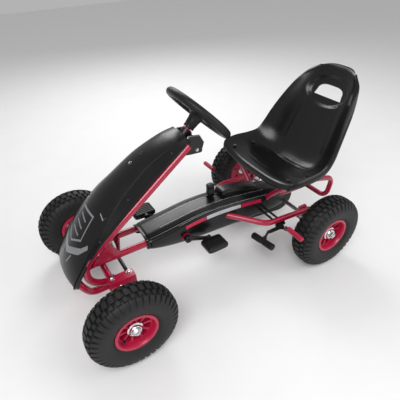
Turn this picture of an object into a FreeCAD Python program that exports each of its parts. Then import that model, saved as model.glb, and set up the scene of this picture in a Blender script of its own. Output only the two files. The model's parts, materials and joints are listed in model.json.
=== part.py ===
"""Pedal go kart: a tube frame with a moulded nose, chain cover and bucket seat on four pneumatic wheels.

Lengths are millimetres, +X is forward, +Y is the driver's left and +Z is up.  Every piece is drawn
about the middle of the wheelbase on the ground, and its Placement then moves it by origin_shift, so
that the finished kart is centred over its own footprint.
"""
import FreeCAD, Part
import math
import os

import Sketcher
from FreeCAD import Vector

SIZES = [
    ("origin_shift", 62.7, "from mid wheelbase to the middle of the kart's length"),
    ("axle_x", 356.7, "front and rear axle, fore and aft of mid wheelbase"),
    ("wheel_y", 252.5, "wheel mid plane from the centre line"),
    ("tyre_radius", 130.0, "tread to axle"),
    ("carcass_radius", 124.0, "tyre between the lugs"),
    ("tyre_width", 84.0, "across the sidewalls"),
    ("bead_radius", 57.0, "where the tyre sits on the rim"),
    ("lug_count", 24.0, "tread lugs around a tyre"),
    ("lug_length", 20.0, "centre lug along the tread"),
    ("lug_width", 46.0, "centre lug across the tread"),
    ("rim_radius", 62.0, "rim flange"),
    ("rim_half_width", 34.0, "rim flange from the mid plane"),
    ("rim_wall", 3.0, "pressed steel rim"),
    ("disc_offset", 14.0, "rim disc outboard of the mid plane"),
    ("window_count", 5.0, "openings in the rim disc"),
    ("window_radius", 9.5, "opening in the rim disc"),
    ("window_pitch_radius", 33.5, "centre of the openings from the axle"),
    ("hub_radius", 17.0, "wheel hub barrel"),
    ("hub_flange_radius", 23.0, "wheel hub flange"),
    ("hub_length", 52.0, "wheel hub along the axle"),
    ("running_clearance", 0.05, "radial gap of a shaft in its bore"),
    ("stub_radius", 6.0, "front stub axle"),
    ("axle_radius", 8.0, "rear axle"),
    ("bearing_radius", 16.0, "rear axle bearing"),
    ("bearing_width", 10.0, "rear axle bearing"),
    ("bracket_y", 131.5, "rear axle bearing from the centre line"),
    ("frame_tube_radius", 11.0, "main frame tubes"),
    ("side_tube_radius", 10.0, "side tubes to the rear axle"),
    ("seat_tube_radius", 9.0, "tubes that carry the seat"),
    ("tube_wall", 1.8, "wall of the frame tubes"),
    ("rail_y", 42.0, "main rails from the centre line"),
    ("rail_front_x", 376.0, "front end of the main rails"),
    ("rail_height", 189.0, "main rails at the front"),
    ("rail_bend_x", 90.0, "where the rails start to slope down"),
    ("rail_tail_x", -446.0, "rear end of the main rails"),
    ("rail_tail_height", 170.0, "main rails at the rear end"),
    ("kingpin_x", 352.0, "steering pivot"),
    ("kingpin_y", 98.0, "steering pivot from the centre line"),
    ("kingpin_radius", 4.0, "steering pivot bolt"),
    ("beam_height", 143.0, "front axle beam"),
    ("boss_radius", 10.0, "kingpin boss at each end of the beam"),
    ("knuckle_low", 125.0, "underside of the steering knuckle"),
    ("knuckle_high", 161.0, "top of the steering knuckle"),
    ("knuckle_plate", 3.0, "steering knuckle sheet"),
    ("knuckle_outer_y", 120.0, "outer face of the steering knuckle"),
    ("steer_arm", 53.0, "kingpin to tie rod pin"),
    ("tie_height", 147.0, "tie rod"),
    ("tie_radius", 6.0, "tie rod bar"),
    ("tie_pin_radius", 4.0, "tie rod pin"),
    ("column_x", 26.0, "a point of the steering column axis"),
    ("column_z", 511.0, "a point of the steering column axis"),
    ("column_tilt", 43.8, "steering column axis above the horizontal, degrees"),
    ("column_radius", 8.0, "steering column"),
    ("column_length", 445.0, "steering column below the head"),
    ("wheel_rim_radius", 101.0, "centre line of the steering wheel rim"),
    ("wheel_grip_radius", 13.0, "steering wheel rim section"),
    ("wheel_rise", 56.0, "steering wheel above the steering head"),
    ("pitman_length", 33.0, "steering column axis to the pin"),
    ("pitman_pin_radius", 4.0, "pin that moves the tie rod"),
    ("pitman_above", 14.0, "pitman arm above the middle of its pin"),
    ("crank_x", 80.0, "pedal crank axis"),
    ("crank_z", 166.0, "pedal crank axis"),
    ("crank_radius", 7.0, "pedal crank axle"),
    ("crank_shell_radius", 15.0, "crank bearing tube"),
    ("crank_arm", 84.0, "crank axis to pedal spindle"),
    ("crank_angle", 22.0, "forward right arm above the horizontal, degrees"),
    ("crank_arm_y", 72.0, "crank arms from the centre line"),
    ("pedal_y", 108.0, "pedal middle from the centre line"),
    ("pedal_length", 76.0, "pedal fore and aft"),
    ("pedal_width", 56.0, "pedal across"),
    ("pedal_height", 20.0, "pedal block"),
    ("spindle_radius", 5.0, "pedal spindle"),
    ("chain_pitch", 12.7, "half inch bicycle chain"),
    ("front_teeth", 18.0, "chainwheel"),
    ("rear_teeth", 14.0, "axle sprocket"),
    ("sprocket_width", 3.0, "both sprockets"),
    ("chain_width", 8.0, "chain across its plates"),
    ("brake_x", -235.0, "brake bar axis"),
    ("brake_z", 141.0, "brake bar axis"),
    ("brake_radius", 4.0, "brake bar and tie bar"),
    ("sleeve_x", -207.0, "brake sleeve axis"),
    ("sleeve_z", 184.5, "brake sleeve axis"),
    ("sleeve_radius", 8.5, "brake sleeve"),
    ("tie_bar_x", -255.0, "fixed bar beside the brake bar"),
    ("seat_shell", 5.0, "seat moulding thickness"),
    ("nose_shell", 4.0, "nose moulding thickness"),
    ("cover_shell", 3.5, "chain cover thickness"),
    ("lever_x", -64.0, "hand lever pivot"),
    ("lever_y", -20.0, "hand lever from the centre line"),
    ("lever_z", 214.0, "hand lever pivot height"),
]

doc = FreeCAD.newDocument("pedal_go_kart")
sheet = doc.addObject("Spreadsheet::Sheet", "Sizes")
for row, (alias, value, meaning) in enumerate(SIZES, start=1):
    sheet.set("A%d" % row, alias)
    sheet.set("B%d" % row, str(value))
    sheet.set("C%d" % row, meaning)
    sheet.setAlias("B%d" % row, alias)
doc.recompute()


def size(alias):
    """The value of one driving dimension."""
    return float(sheet.get(alias))


SIDES = {"left": 1, "right": -1}
PARTS = []


# ---------------------------------------------------------------- helpers

def place(obj, x="0", y="0", z="0"):
    """Bind an object's Placement to the sheet: its own position plus the shift to the kart's origin."""
    obj.setExpression(".Placement.Base.x", "Sizes.origin_shift + %s" % x)
    obj.setExpression(".Placement.Base.y", y)
    obj.setExpression(".Placement.Base.z", z)


def finish(obj, node, x="0", y="0", z="0"):
    """Name a sub-part, place it and put it on the list of pieces to write."""
    obj.Label = node
    place(obj, x, y, z)
    PARTS.append(obj)
    return obj


def feature(node, shape, x="0", y="0", z="0"):
    """A sub-part whose shape comes from Part's own functions."""
    obj = doc.addObject("Part::Feature", node)
    where = shape.Placement.toMatrix()
    fixed = shape.copy()
    fixed.Placement = FreeCAD.Placement()
    fixed.transformShape(where, True)
    obj.Shape = fixed
    return finish(obj, node, x, y, z)


def body(node):
    """An empty PartDesign body."""
    made = doc.addObject("PartDesign::Body", node)
    made.Label = node
    return made


def origin_plane(owner, role):
    """One of a body's own origin planes."""
    return next(item for item in owner.Origin.OriginFeatures if item.Role == role)


def sketch(owner, name, role, offset=0.0):
    """A sketch on one of the body's origin planes, moved along the plane's normal."""
    made = owner.newObject("Sketcher::SketchObject", name)
    made.AttachmentSupport = [(origin_plane(owner, role), "")]
    made.MapMode = "FlatFace"
    made.AttachmentOffset = FreeCAD.Placement(Vector(0, 0, offset), FreeCAD.Rotation())
    return made


def circle(made, radius, x=0.0, y=0.0):
    """A circle whose radius is bound to an expression."""
    index = made.addGeometry(Part.Circle(Vector(x, y, 0), Vector(0, 0, 1), 10.0), False)
    radius_at = made.addConstraint(Sketcher.Constraint("Radius", index, 10.0))
    made.setExpression("Constraints[%d]" % radius_at, radius)
    made.addConstraint(Sketcher.Constraint("DistanceX", -1, 1, index, 3, x))
    made.addConstraint(Sketcher.Constraint("DistanceY", -1, 1, index, 3, y))


def outline(made, points):
    """A closed outline of straight lines."""
    lines = [Part.LineSegment(Vector(*a, 0), Vector(*b, 0))
             for a, b in zip(points, points[1:] + points[:1])]
    first = made.addGeometry(lines, False)[0]
    count = len(points)
    for index in range(count):
        following = (index + 1) % count
        made.addConstraint(Sketcher.Constraint("Coincident", first + index, 2, first + following, 1))


def rectangle(made, width, height, x=0.0, y=0.0):
    """A rectangle centred on a point, its two sizes bound to expressions."""
    half = 10.0
    outline(made, [(x - half, y - half), (x + half, y - half), (x + half, y + half), (x - half, y + half)])
    first = made.GeometryCount - 4
    for side, kind in ((0, "Horizontal"), (1, "Vertical"), (2, "Horizontal"), (3, "Vertical")):
        made.addConstraint(Sketcher.Constraint(kind, first + side))
    wide = made.addConstraint(Sketcher.Constraint("DistanceX", first, 1, first, 2, 2 * half))
    high = made.addConstraint(Sketcher.Constraint("DistanceY", first + 1, 1, first + 1, 2, 2 * half))
    left = made.addConstraint(Sketcher.Constraint("DistanceX", -1, 1, first, 1, x - half))
    low = made.addConstraint(Sketcher.Constraint("DistanceY", -1, 1, first, 1, y - half))
    made.setExpression("Constraints[%d]" % wide, width)
    made.setExpression("Constraints[%d]" % high, height)
    made.setExpression("Constraints[%d]" % left, "%s - (%s) / 2" % (x, width))
    made.setExpression("Constraints[%d]" % low, "%s - (%s) / 2" % (y, height))


def pad(owner, profile, length, midplane=True, backwards=False):
    """A pad whose length is bound to an expression."""
    made = owner.newObject("PartDesign::Pad", profile.Name + "_pad")
    made.Profile = profile
    made.Midplane = midplane
    made.Reversed = backwards
    made.setExpression("Length", length)
    profile.Visibility = False
    return made


def through_cut(owner, profile):
    """A pocket right through the body, in both directions from its sketch."""
    before = owner.Shape.Volume
    made = owner.newObject("PartDesign::Pocket", profile.Name + "_pocket")
    made.Profile = profile
    made.Type = "ThroughAll"
    made.Midplane = True
    doc.recompute()
    if made.Shape.Volume > before - 1.0:
        raise RuntimeError("%s cuts nothing" % made.Name)
    return made


def revolve(owner, profile, axis_role):
    """A full revolution about one of the body's origin axes."""
    made = owner.newObject("PartDesign::Revolution", profile.Name + "_turn")
    made.Profile = profile
    made.ReferenceAxis = (origin_plane(owner, axis_role), [""])
    made.Angle = 360.0
    return made


def around(owner, originals, axis_role, count):
    """Repeat features evenly about one of the body's origin axes."""
    made = owner.newObject("PartDesign::PolarPattern", originals[0].Name + "_pattern")
    made.Originals = originals
    made.Axis = (origin_plane(owner, axis_role), [""])
    made.Angle = 360.0
    made.Occurrences = count
    owner.Tip = made
    return made


def bent_path(points, radius):
    """Straight runs through the points, joined by tangent arcs."""
    edges = []
    start = Vector(*points[0])
    for before, corner, after in zip(points, points[1:], points[2:]):
        corner = Vector(*corner)
        incoming = (Vector(*before) - corner).normalize()
        outgoing = (Vector(*after) - corner).normalize()
        half_angle = incoming.getAngle(outgoing) / 2
        reach = radius / math.tan(half_angle)
        first = corner + incoming * reach
        last = corner + outgoing * reach
        towards = (incoming + outgoing).normalize()
        middle = corner + towards * (radius / math.sin(half_angle) - radius)
        edges.append(Part.LineSegment(start, first).toShape())
        edges.append(Part.Arc(first, middle, last).toShape())
        start = last
    edges.append(Part.LineSegment(start, Vector(*points[-1])).toShape())
    return Part.Wire(edges)


def bent_tube(points, radius, bend, wall=None):
    """A round tube, or a solid bar where no wall is given, along a bent path."""
    path = bent_path(points, bend)
    start = Vector(*points[0])
    direction = Vector(*points[1]) - start
    outside = Part.Wire(Part.makeCircle(radius, start, direction))
    solid = path.makePipeShell([outside], True, False)
    if wall is None:
        return solid
    inside = Part.Wire(Part.makeCircle(radius - wall, start, direction))
    return solid.cut(path.makePipeShell([inside], True, False))


def rod(start, end, radius):
    """A straight round bar between two points."""
    start = Vector(*start)
    span = Vector(*end) - start
    return Part.makeCylinder(radius, span.Length, start, span)


def plate(points, normal_from, thickness):
    """A flat plate in the XZ plane with straight edges, from y = normal_from, thickness to +Y."""
    ring = [Vector(x, normal_from, z) for x, z in points]
    face = Part.Face(Part.makePolygon(ring + ring[:1]))
    return face.extrude(Vector(0, thickness, 0))


def mirrored(shape):
    """The same piece on the other side of the kart."""
    return shape.mirror(Vector(0, 0, 0), Vector(0, 1, 0))


def fused(shapes):
    """One solid from several that meet."""
    joined = shapes[0].multiFuse(shapes[1:])
    return joined.removeSplitter()


def even(points, count):
    """Points spaced evenly along a smooth curve through the given ones."""
    curve = Part.BSplineCurve()
    curve.interpolate([Vector(*point) for point in points])
    return curve.discretize(Number=count)


def skin(rows, thickness, along_count, across_count):
    """A moulded shell: a smooth surface through rows of points, thickened against its normals."""
    spread = [even(row, across_count) for row in rows]
    columns = [even(column, along_count) for column in zip(*spread)]
    outer_points = [list(row) for row in zip(*columns)]
    inner_points = []
    last_row = along_count - 1
    last_column = across_count - 1
    for i, row in enumerate(outer_points):
        inner_row = []
        for j, point in enumerate(row):
            along = outer_points[min(i + 1, last_row)][j] - outer_points[max(i - 1, 0)][j]
            across = row[min(j + 1, last_column)] - row[max(j - 1, 0)]
            inner_row.append(point - along.cross(across).normalize() * thickness)
        inner_points.append(inner_row)
    surfaces = []
    for points in (outer_points, inner_points):
        surface = Part.BSplineSurface()
        surface.interpolate(points)
        surfaces.append(surface)
    u_low, u_high, v_low, v_high = surfaces[0].bounds()
    faces = [surface.toShape() for surface in surfaces]
    for pick, at in (("uIso", u_low), ("uIso", u_high), ("vIso", v_low), ("vIso", v_high)):
        edges = [getattr(surface, pick)(at).toShape() for surface in surfaces]
        faces.append(Part.makeRuledSurface(*edges))
    shell = Part.Shell(Part.makeCompound(faces).Faces)
    shell.sewShape()
    solid = Part.Solid(shell)
    if solid.Volume < 0:
        solid.reverse()
    return solid


# ---------------------------------------------------------------- frame

FRAME_R = size("frame_tube_radius")
WALL = size("tube_wall")


def main_rails():
    """Two tubes side by side, from the nose to the tail, with a slight slope behind the crank."""
    tubes = []
    for side in SIDES.values():
        y = side * size("rail_y")
        route = [(size("rail_front_x"), y, size("rail_height")),
                 (size("rail_bend_x"), y, size("rail_height")),
                 (size("rail_tail_x") + 6, y, size("rail_tail_height"))]
        tubes.append(bent_tube(route, FRAME_R, 200.0, WALL))
    feature("main_rails", Part.makeCompound(tubes))


def nose_tubes():
    """A tube each side runs from the steering head down to the nose and turns back to the axle beam."""
    route = [(50, 48, 482), (413, 82, 236), (413, 72, 125), (334, 64, 125)]
    left = bent_tube(route, FRAME_R, 70.0, WALL)
    feature("nose_tube_left", left)
    feature("nose_tube_right", mirrored(left))


def front_bumper():
    """A tube loop below the nose, from one end of the axle beam to the other."""
    half = [(322, 64, 104), (410, 64, 104), (446, 76, 172)]
    route = half + [(x, -y, z) for x, y, z in reversed(half)]
    feature("front_bumper", bent_tube(route, FRAME_R, 38.0, WALL))


def front_axle_beam():
    """The cross tube, with an upright boss at each end for the kingpin."""
    x = size("kingpin_x")
    y = size("kingpin_y")
    z = size("beam_height")
    boss_r = size("boss_radius")
    low = size("knuckle_low") + size("knuckle_plate") + 1.0
    high = size("knuckle_high") - size("knuckle_plate") - 1.0
    pieces = [rod((x, -y + 4, z), (x, y - 4, z), FRAME_R)]
    for side in SIDES.values():
        pieces.append(rod((x, side * y, low), (x, side * y, high), boss_r))
    beam = fused(pieces)
    for side in SIDES.values():
        beam = beam.cut(rod((x, side * y, low - 1), (x, side * y, high + 1), size("kingpin_radius")))
    beam = beam.cut(rod((x, -70, z), (x, 70, z), FRAME_R - WALL))
    feature("front_axle_beam", beam)


def kingpins():
    """A bolt and nut through each knuckle and boss."""
    x = size("kingpin_x")
    bolts = []
    for side in SIDES.values():
        y = side * size("kingpin_y")
        low = size("knuckle_low")
        high = size("knuckle_high")
        shank = rod((x, y, low - 9), (x, y, high + 5), size("kingpin_radius"))
        head = rod((x, y, high + 0.4), (x, y, high + 6), 7.0)
        nut = rod((x, y, low - 7), (x, y, low - 0.4), 7.0)
        bolts.append(fused([shank, head, nut]))
    feature("kingpins", Part.makeCompound(bolts))


def nose_gussets():
    """A triangular plate each side ties the nose tube to the rail."""
    corners = [Vector(334, 71, 274), Vector(402, 74, 206), Vector(398, 46, 196), Vector(296, 46, 196)]
    face = Part.Face(Part.makePolygon([corners[0], corners[1], corners[3], corners[0]]))
    normal = (corners[1] - corners[0]).cross(corners[3] - corners[0]).normalize()
    upper = face.extrude(normal * 3.0)
    face = Part.Face(Part.makePolygon([corners[1], corners[2], corners[3], corners[1]]))
    lower = face.extrude(normal * 3.0)
    left = fused([upper, lower])
    feature("nose_gussets", Part.makeCompound([left, mirrored(left)]))


def column_point(below):
    """A point on the steering column axis, a distance below the steering head."""
    tilt = math.radians(size("column_tilt"))
    return Vector(size("column_x") + below * math.cos(tilt), 0, size("column_z") - below * math.sin(tilt))


def nose_saddle():
    """The cross plate between the nose tubes, arched underneath, that carries the lower column bush."""
    half = [(76, 283), (46, 190), (31, 190), (24, 214)]
    outside = [(-y, z) for y, z in half] + [(0, 226)] + half[::-1]
    ring = [Vector(300, y, z) for y, z in outside]
    face = Part.Face(Part.makePolygon(ring + ring[:1]))
    saddle = face.extrude(Vector(4, 0, 0))
    bush_hole = rod(column_point(340), column_point(420), size("column_radius") + 4)
    feature("nose_saddle", saddle.cut(bush_hole))


def steering_head():
    """Two side plates and a tube at the top of the nose tubes, where the column passes through."""
    corners = [(-8, 474), (6, 500), (40, 505), (92, 466), (80, 452), (36, 446), (2, 444)]
    sides = [plate(corners, y, 3.0) for y in (-37.0, 34.0)]
    back = Part.makeBox(3.0, 72.0, 30.0, Vector(-2, -36, 446))
    tube = rod(column_point(16), column_point(74), size("column_radius") + 8)
    web = Part.makeBox(24.0, 70.0, 3.0, Vector(38, -35, 470))
    head = fused(sides + [tube, web, back])
    bore = rod(column_point(0), column_point(90), size("column_radius") + 4)
    feature("steering_head", head.cut(bore))


def steering_bushes():
    """Nylon sleeves that the column turns in, at the head and at the saddle."""
    bushes = []
    for top, bottom in ((14, 76), (370, 394)):
        outer = rod(column_point(top), column_point(bottom), size("column_radius") + 4)
        bore = rod(column_point(top - 1), column_point(bottom + 1),
                   size("column_radius") + size("running_clearance"))
        bushes.append(outer.cut(bore))
    feature("steering_bushes", Part.makeCompound(bushes))


def side_tubes():
    """A tube each side spreads from the rails and runs back to the rear axle."""
    route = [(-78, 46, 183), (-186, 145, 161), (-376, 150, 150)]
    left = bent_tube(route, size("side_tube_radius"), 62.0, WALL)
    feature("side_tube_left", left)
    feature("side_tube_right", mirrored(left))


def axle_brackets():
    """A plate under each side tube holds a rear axle bearing."""
    x = -size("axle_x")
    z = size("tyre_radius")
    y = size("bracket_y")
    thickness = size("bearing_width")
    outer = size("bearing_radius") + 6
    ear = [(x - outer + 2, z), (x + outer - 2, z), (x + 15, z + 34), (x - 15, z + 34)]
    ring = rod((x, y, z), (x, y + thickness, z), outer)
    left = fused([plate(ear, y, thickness), ring])
    left = left.cut(rod((x, y - 1, z), (x, y + thickness + 1, z), size("bearing_radius")))
    left = left.cut(rod((x - 60, 149.5, 151.2), (x + 60, 149.5, 151.2), size("side_tube_radius") - 1.0))
    feature("axle_brackets", Part.makeCompound([left, mirrored(left)]))


def axle_bearings():
    """A bearing in each bracket, bored for the rear axle."""
    bearing = body("axle_bearings")
    profile = sketch(bearing, "axle_bearing_ring", "XZ_Plane", 0.0)
    circle(profile, "Sizes.bearing_radius")
    circle(profile, "Sizes.axle_radius + Sizes.running_clearance")
    pad(bearing, profile, "Sizes.bearing_width")
    doc.recompute()
    rings = []
    centre = size("bracket_y") + size("bearing_width") / 2
    for side in SIDES.values():
        copy = bearing.Shape.copy()
        copy.translate(Vector(-size("axle_x"), side * centre, size("tyre_radius")))
        rings.append(copy)
    doc.removeObject(bearing.Name)
    feature("axle_bearings", Part.makeCompound(rings))


def seat_tubes():
    """A leg each side under the front of the seat and a hoop behind it, all on the rails."""
    radius = size("seat_tube_radius")
    left = bent_tube([(-256, 147, 287), (-258, 132, 275), (-261, 46, 185)], radius, 12.0, WALL)
    foot = Part.makeBox(30.0, 34.0, 3.0, Vector(-271, 131, 288))
    left = fused([left, foot])
    feature("seat_front_legs", Part.makeCompound([left, mirrored(left)]))
    half = [(-346, 148, 284), (-474, 148, 250), (-456, 148, 172)]
    route = half + [(x, -y, z) for x, y, z in reversed(half)]
    hoop = bent_tube(route, radius, 30.0, WALL)
    ends = [rod((-346, side * 148, 279), (-346, side * 148, 289), 13.0) for side in SIDES.values()]
    feature("seat_rear_hoop", fused([hoop] + ends))


def crank_shells():
    """A bearing tube under each rail for the pedal crank."""
    x = size("crank_x")
    z = size("crank_z")
    tubes = []
    for side in SIDES.values():
        outer = rod((x, side * 25, z), (x, side * 62, z), size("crank_shell_radius"))
        tubes.append(outer.cut(rod((x, side * 20, z), (x, side * 66, z), size("crank_shell_radius") - 3)))
    feature("crank_shells", Part.makeCompound(tubes))


def crank_bushes():
    """A bush in each crank shell."""
    x = size("crank_x")
    z = size("crank_z")
    bushes = []
    for side in SIDES.values():
        outer = rod((x, side * 40, z), (x, side * 62.5, z), size("crank_shell_radius") - 3)
        bore = rod((x, side * 38, z), (x, side * 64, z), size("crank_radius") + size("running_clearance"))
        bushes.append(outer.cut(bore))
    feature("crank_bushes", Part.makeCompound(bushes))


def brake_brackets():
    """A plate under each side tube carries the brake bar and the tie bar."""
    x = size("brake_x")
    z = size("brake_z")
    tie_x = size("tie_bar_x")
    corners = [(tie_x - 9, z - 9), (x + 9, z - 9), (x + 10, z + 13), (tie_x - 10, z + 11)]
    left = plate(corners, 144.0, 5.0)
    bore = size("brake_radius") + size("running_clearance")
    left = left.cut(rod((x, 140, z), (x, 152, z), bore))
    left = left.cut(rod((tie_x, 140, z), (tie_x, 152, z), size("brake_radius")))
    feature("brake_brackets", Part.makeCompound([left, mirrored(left)]))


def tie_bar():
    """A fixed bar from bracket to bracket, with a nut at each end."""
    x = size("tie_bar_x")
    z = size("brake_z")
    pieces = [rod((x, -160, z), (x, 160, z), size("brake_radius"))]
    for side in SIDES.values():
        pieces.append(rod((x, side * 149.5, z), (x, side * 156, z), 7.0))
    feature("brake_tie_bar", fused(pieces))


# ---------------------------------------------------------------- mouldings

def nose_fairing():
    """The nose: a crowned top panel between two creases, and a side panel down to each nose tube."""
    stations = [
        # crease x, y, z, lower edge x, y, z, height of the crown
        (52, 42, 509, 44, 50, 494, 5),
        (100, 46, 497, 86, 57, 472, 7),
        (180, 50, 463, 158, 64, 428, 11),
        (260, 60, 407, 240, 74, 372, 16),
        (300, 71, 374, 281, 80, 344, 19),
        (340, 80, 333, 325, 86, 311, 22),
        (380, 87, 285, 372, 91, 274, 24),
        (415, 89, 236, 410, 92, 230, 22),
        (438, 88, 202, 433, 90, 196, 18),
        (454, 84, 174, 449, 86, 168, 12),
        (455, 78, 158, 446, 78, 152, 6),
    ]
    rows = []
    for index, (cx, cy, cz, lx, ly, lz, crown) in enumerate(stations):
        before = stations[max(index - 1, 0)]
        after = stations[min(index + 1, len(stations) - 1)]
        run = Vector(after[0] - before[0], 0, after[2] - before[2]).normalize()
        up = Vector(-run.z, 0, run.x)
        half = []
        for share in (0.0, 0.5, 0.9):
            half.append((lx + (cx - lx) * share, ly + (cy - ly) * share, lz + (cz - lz) * share))
        for across in (1.0, 0.9, 0.5):
            rise = crown * (1 - across ** 2)
            half.append((cx + up.x * rise, cy * across, cz + up.z * rise))
        middle = (cx + up.x * crown, 0.0, cz + up.z * crown)
        other = [(x, -y, z) for x, y, z in reversed(half)]
        rows.append(half + [middle] + other)
    feature("nose_fairing", skin(rows, -size("nose_shell"), 18, 25))


COVER = [
    # x, top z, lower edge z, half width
    (214, 207, 170, 58), (190, 210, 160, 60), (150, 215, 148, 61), (95, 222, 137, 61), (30, 230, 130, 61),
    (-50, 231, 125, 60), (-140, 223, 120, 59), (-230, 209, 117, 57), (-310, 196, 117, 54), (-345, 188, 120, 50),
]


def bar_holes():
    """Cutters for the holes where the brake bar and the tie bar pass through the mouldings."""
    z = size("brake_z")
    radius = size("brake_radius") + 2.0
    return [rod((size(alias), -80, z), (size(alias), 80, z), radius) for alias in ("brake_x", "tie_bar_x")]


def chain_cover():
    """The long cover over the rails and the chain: a crowned top, round shoulders and leaning sides."""
    rows = []
    for x, top, low, half in COVER:
        left = [(x, half * 0.72, low), (x, half * 0.94, low + (top - low) * 0.4),
                (x, half, top - 26), (x, half * 0.97, top - 14), (x, half * 0.85, top - 6.5),
                (x, half * 0.6, top - 3)]
        right = [(px, -py, pz) for px, py, pz in reversed(left)]
        rows.append(left + [(x, 0.0, top)] + right)
    cover = skin(rows, size("cover_shell"), 20, 25)
    crank_hole = rod((size("crank_x"), -80, size("crank_z")), (size("crank_x"), 80, size("crank_z")),
                     size("crank_shell_radius") + 1.5)
    lever_slot = Part.makeBox(44.0, 17.0, 60.0, Vector(size("lever_x") - 22, size("lever_y") - 8.5, 200))
    tube_holes = [rod((-60, side * 28, 188), (-170, side * 132, 164), size("side_tube_radius") + 1.5)
                  for side in SIDES.values()]
    leg_holes = [rod((-258, side * 100, 242.3), (-261, side * 46, 186), size("seat_tube_radius") + 1.5)
                 for side in SIDES.values()]
    for cutter in [crank_hole, lever_slot] + tube_holes + leg_holes + bar_holes():
        cover = cover.cut(cutter)
    feature("chain_cover", cover)


def lever_housing():
    """The raised wedge on the cover behind the hand lever."""
    corners = [(-94, 222), (-96, 246), (-108, 250), (-245, 216), (-248, 202)]
    wedge = plate(corners, -42.0, 56.0)
    long_edges = [edge for edge in wedge.Edges if edge.BoundBox.YLength < 1 and edge.BoundBox.ZMax > 205]
    feature("lever_housing", wedge.makeFillet(5.0, long_edges))


def chain_case():
    """The case around the sprockets and chain, deeper at the rear axle."""
    front = Vector(size("crank_x"), 0, size("crank_z"))
    rear = Vector(-size("axle_x"), 0, size("tyre_radius"))

    def stadium(front_radius, rear_radius, half_width):
        """The outline that wraps both sprockets, as a closed solid."""
        span = rear - front
        lean = math.asin((rear_radius - front_radius) / span.Length)
        along = math.atan2(span.z, span.x)
        ends = []
        for turn in (1, -1):
            angle = along + turn * (math.pi / 2 + lean)
            direction = Vector(math.cos(angle), 0, math.sin(angle))
            ends.append((front + direction * front_radius, rear + direction * rear_radius))
        away = span.normalize()
        nose = front - away * front_radius
        tail = rear + away * rear_radius
        (front_a, rear_a), (front_b, rear_b) = ends
        wire = Part.Wire([Part.Arc(front_a, nose, front_b).toShape(),
                          Part.LineSegment(front_b, rear_b).toShape(),
                          Part.Arc(rear_b, tail, rear_a).toShape(),
                          Part.LineSegment(rear_a, front_a).toShape()])
        face = Part.Face(wire)
        face.translate(Vector(0, -half_width, 0))
        return face.extrude(Vector(0, 2 * half_width, 0))

    case = stadium(46.0, 60.0, 22.0)
    rims = [edge for edge in case.Edges if edge.BoundBox.YLength < 1]
    case = case.makeFillet(8.0, rims)
    case = case.cut(stadium(43.5, 57.5, 19.5))
    case = case.cut(rod((front.x, -30, front.z), (front.x, 30, front.z), size("crank_radius") + 3))
    case = case.cut(rod((rear.x, -30, rear.z), (rear.x, 30, rear.z), size("axle_radius") + 3))
    for cutter in bar_holes():
        case = case.cut(cutter)
    feature("chain_case", case)


SEAT_LEVELS = [
    # edge x, edge z, half width at the edge, middle x, middle z, share of the full edge roll
    (-226, 305, 178, -228, 276, 0.35),
    (-240, 326, 188, -240, 292, 0.8),
    (-290, 331, 192, -292, 286, 1.0),
    (-345, 330, 188, -350, 271, 1.0),
    (-386, 338, 180, -404, 270, 1.0),
    (-412, 366, 175, -446, 300, 1.0),
    (-434, 404, 167, -474, 350, 1.0),
    (-460, 446, 156, -500, 410, 1.0),
    (-487, 486, 143, -530, 474, 1.0),
    (-513, 520, 129, -556, 520, 0.9),
    (-540, 546, 112, -576, 556, 0.7),
    (-562, 567, 88, -590, 580, 0.4),
    (-578, 576, 74, -604, 585, 0.15),
    (-590, 566, 68, -612, 574, 0.1),
]


def seat_shell():
    """The moulded bucket seat: a dished pan and back with a rolled edge and a hand hole."""
    rows = []
    for ex, ez, half, mx, mz, roll in SEAT_LEVELS:
        left = []
        for across in (0.22, 0.45, 0.66, 0.82, 0.93, 1.0):
            dish = across ** 3.2
            left.append((mx + (ex - mx) * dish, half * across, mz + (ez - mz) * dish))
        outward = Vector(mx - ex, 0, mz - ez)
        outward = outward.normalize() * roll
        left.append((ex + outward.x * 10, half + 6 * roll, ez + outward.z * 10))
        left.append((ex + outward.x * 22, half + 8 * roll, ez + outward.z * 22))
        right = [(x, -y, z) for x, y, z in reversed(left)]
        rows.append(right + [(mx, 0.0, mz)] + left)
    seat = skin(rows, -size("seat_shell"), 22, 31)
    low, half = 494.0, 54.0
    corners = [Vector(0, -half, low), Vector(0, half, low)]
    arch = Part.Wire([Part.LineSegment(corners[0], corners[1]).toShape(),
                      Part.LineSegment(corners[1], Vector(0, half - 6, low + 16)).toShape(),
                      Part.Arc(Vector(0, half - 6, low + 16), Vector(0, 0, low + 36),
                               Vector(0, -half + 6, low + 16)).toShape(),
                      Part.LineSegment(Vector(0, -half + 6, low + 16), corners[0]).toShape()])
    hole = Part.Face(arch)
    hole.rotate(Vector(0, 0, low), Vector(0, 1, 0), -30)
    hole.translate(Vector(-520, 0, 0))
    feature("seat_shell", seat.cut(hole.extrude(Vector(-120, 0, -70))))


def seat_bolts():
    """Four bolts with washers hold the seat to its tubes."""
    bolts = []
    for x, z, top in ((-256, 284, 311), (-346, 281, 299.5)):
        for side in SIDES.values():
            y = side * 148
            shank = rod((x, y, z), (x, y, top), 3.0)
            head = rod((x, y, top - 1), (x, y, top + 4), 6.5)
            bolts.append(fused([shank, head]))
    feature("seat_bolts", Part.makeCompound(bolts))


# ---------------------------------------------------------------- steering

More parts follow.
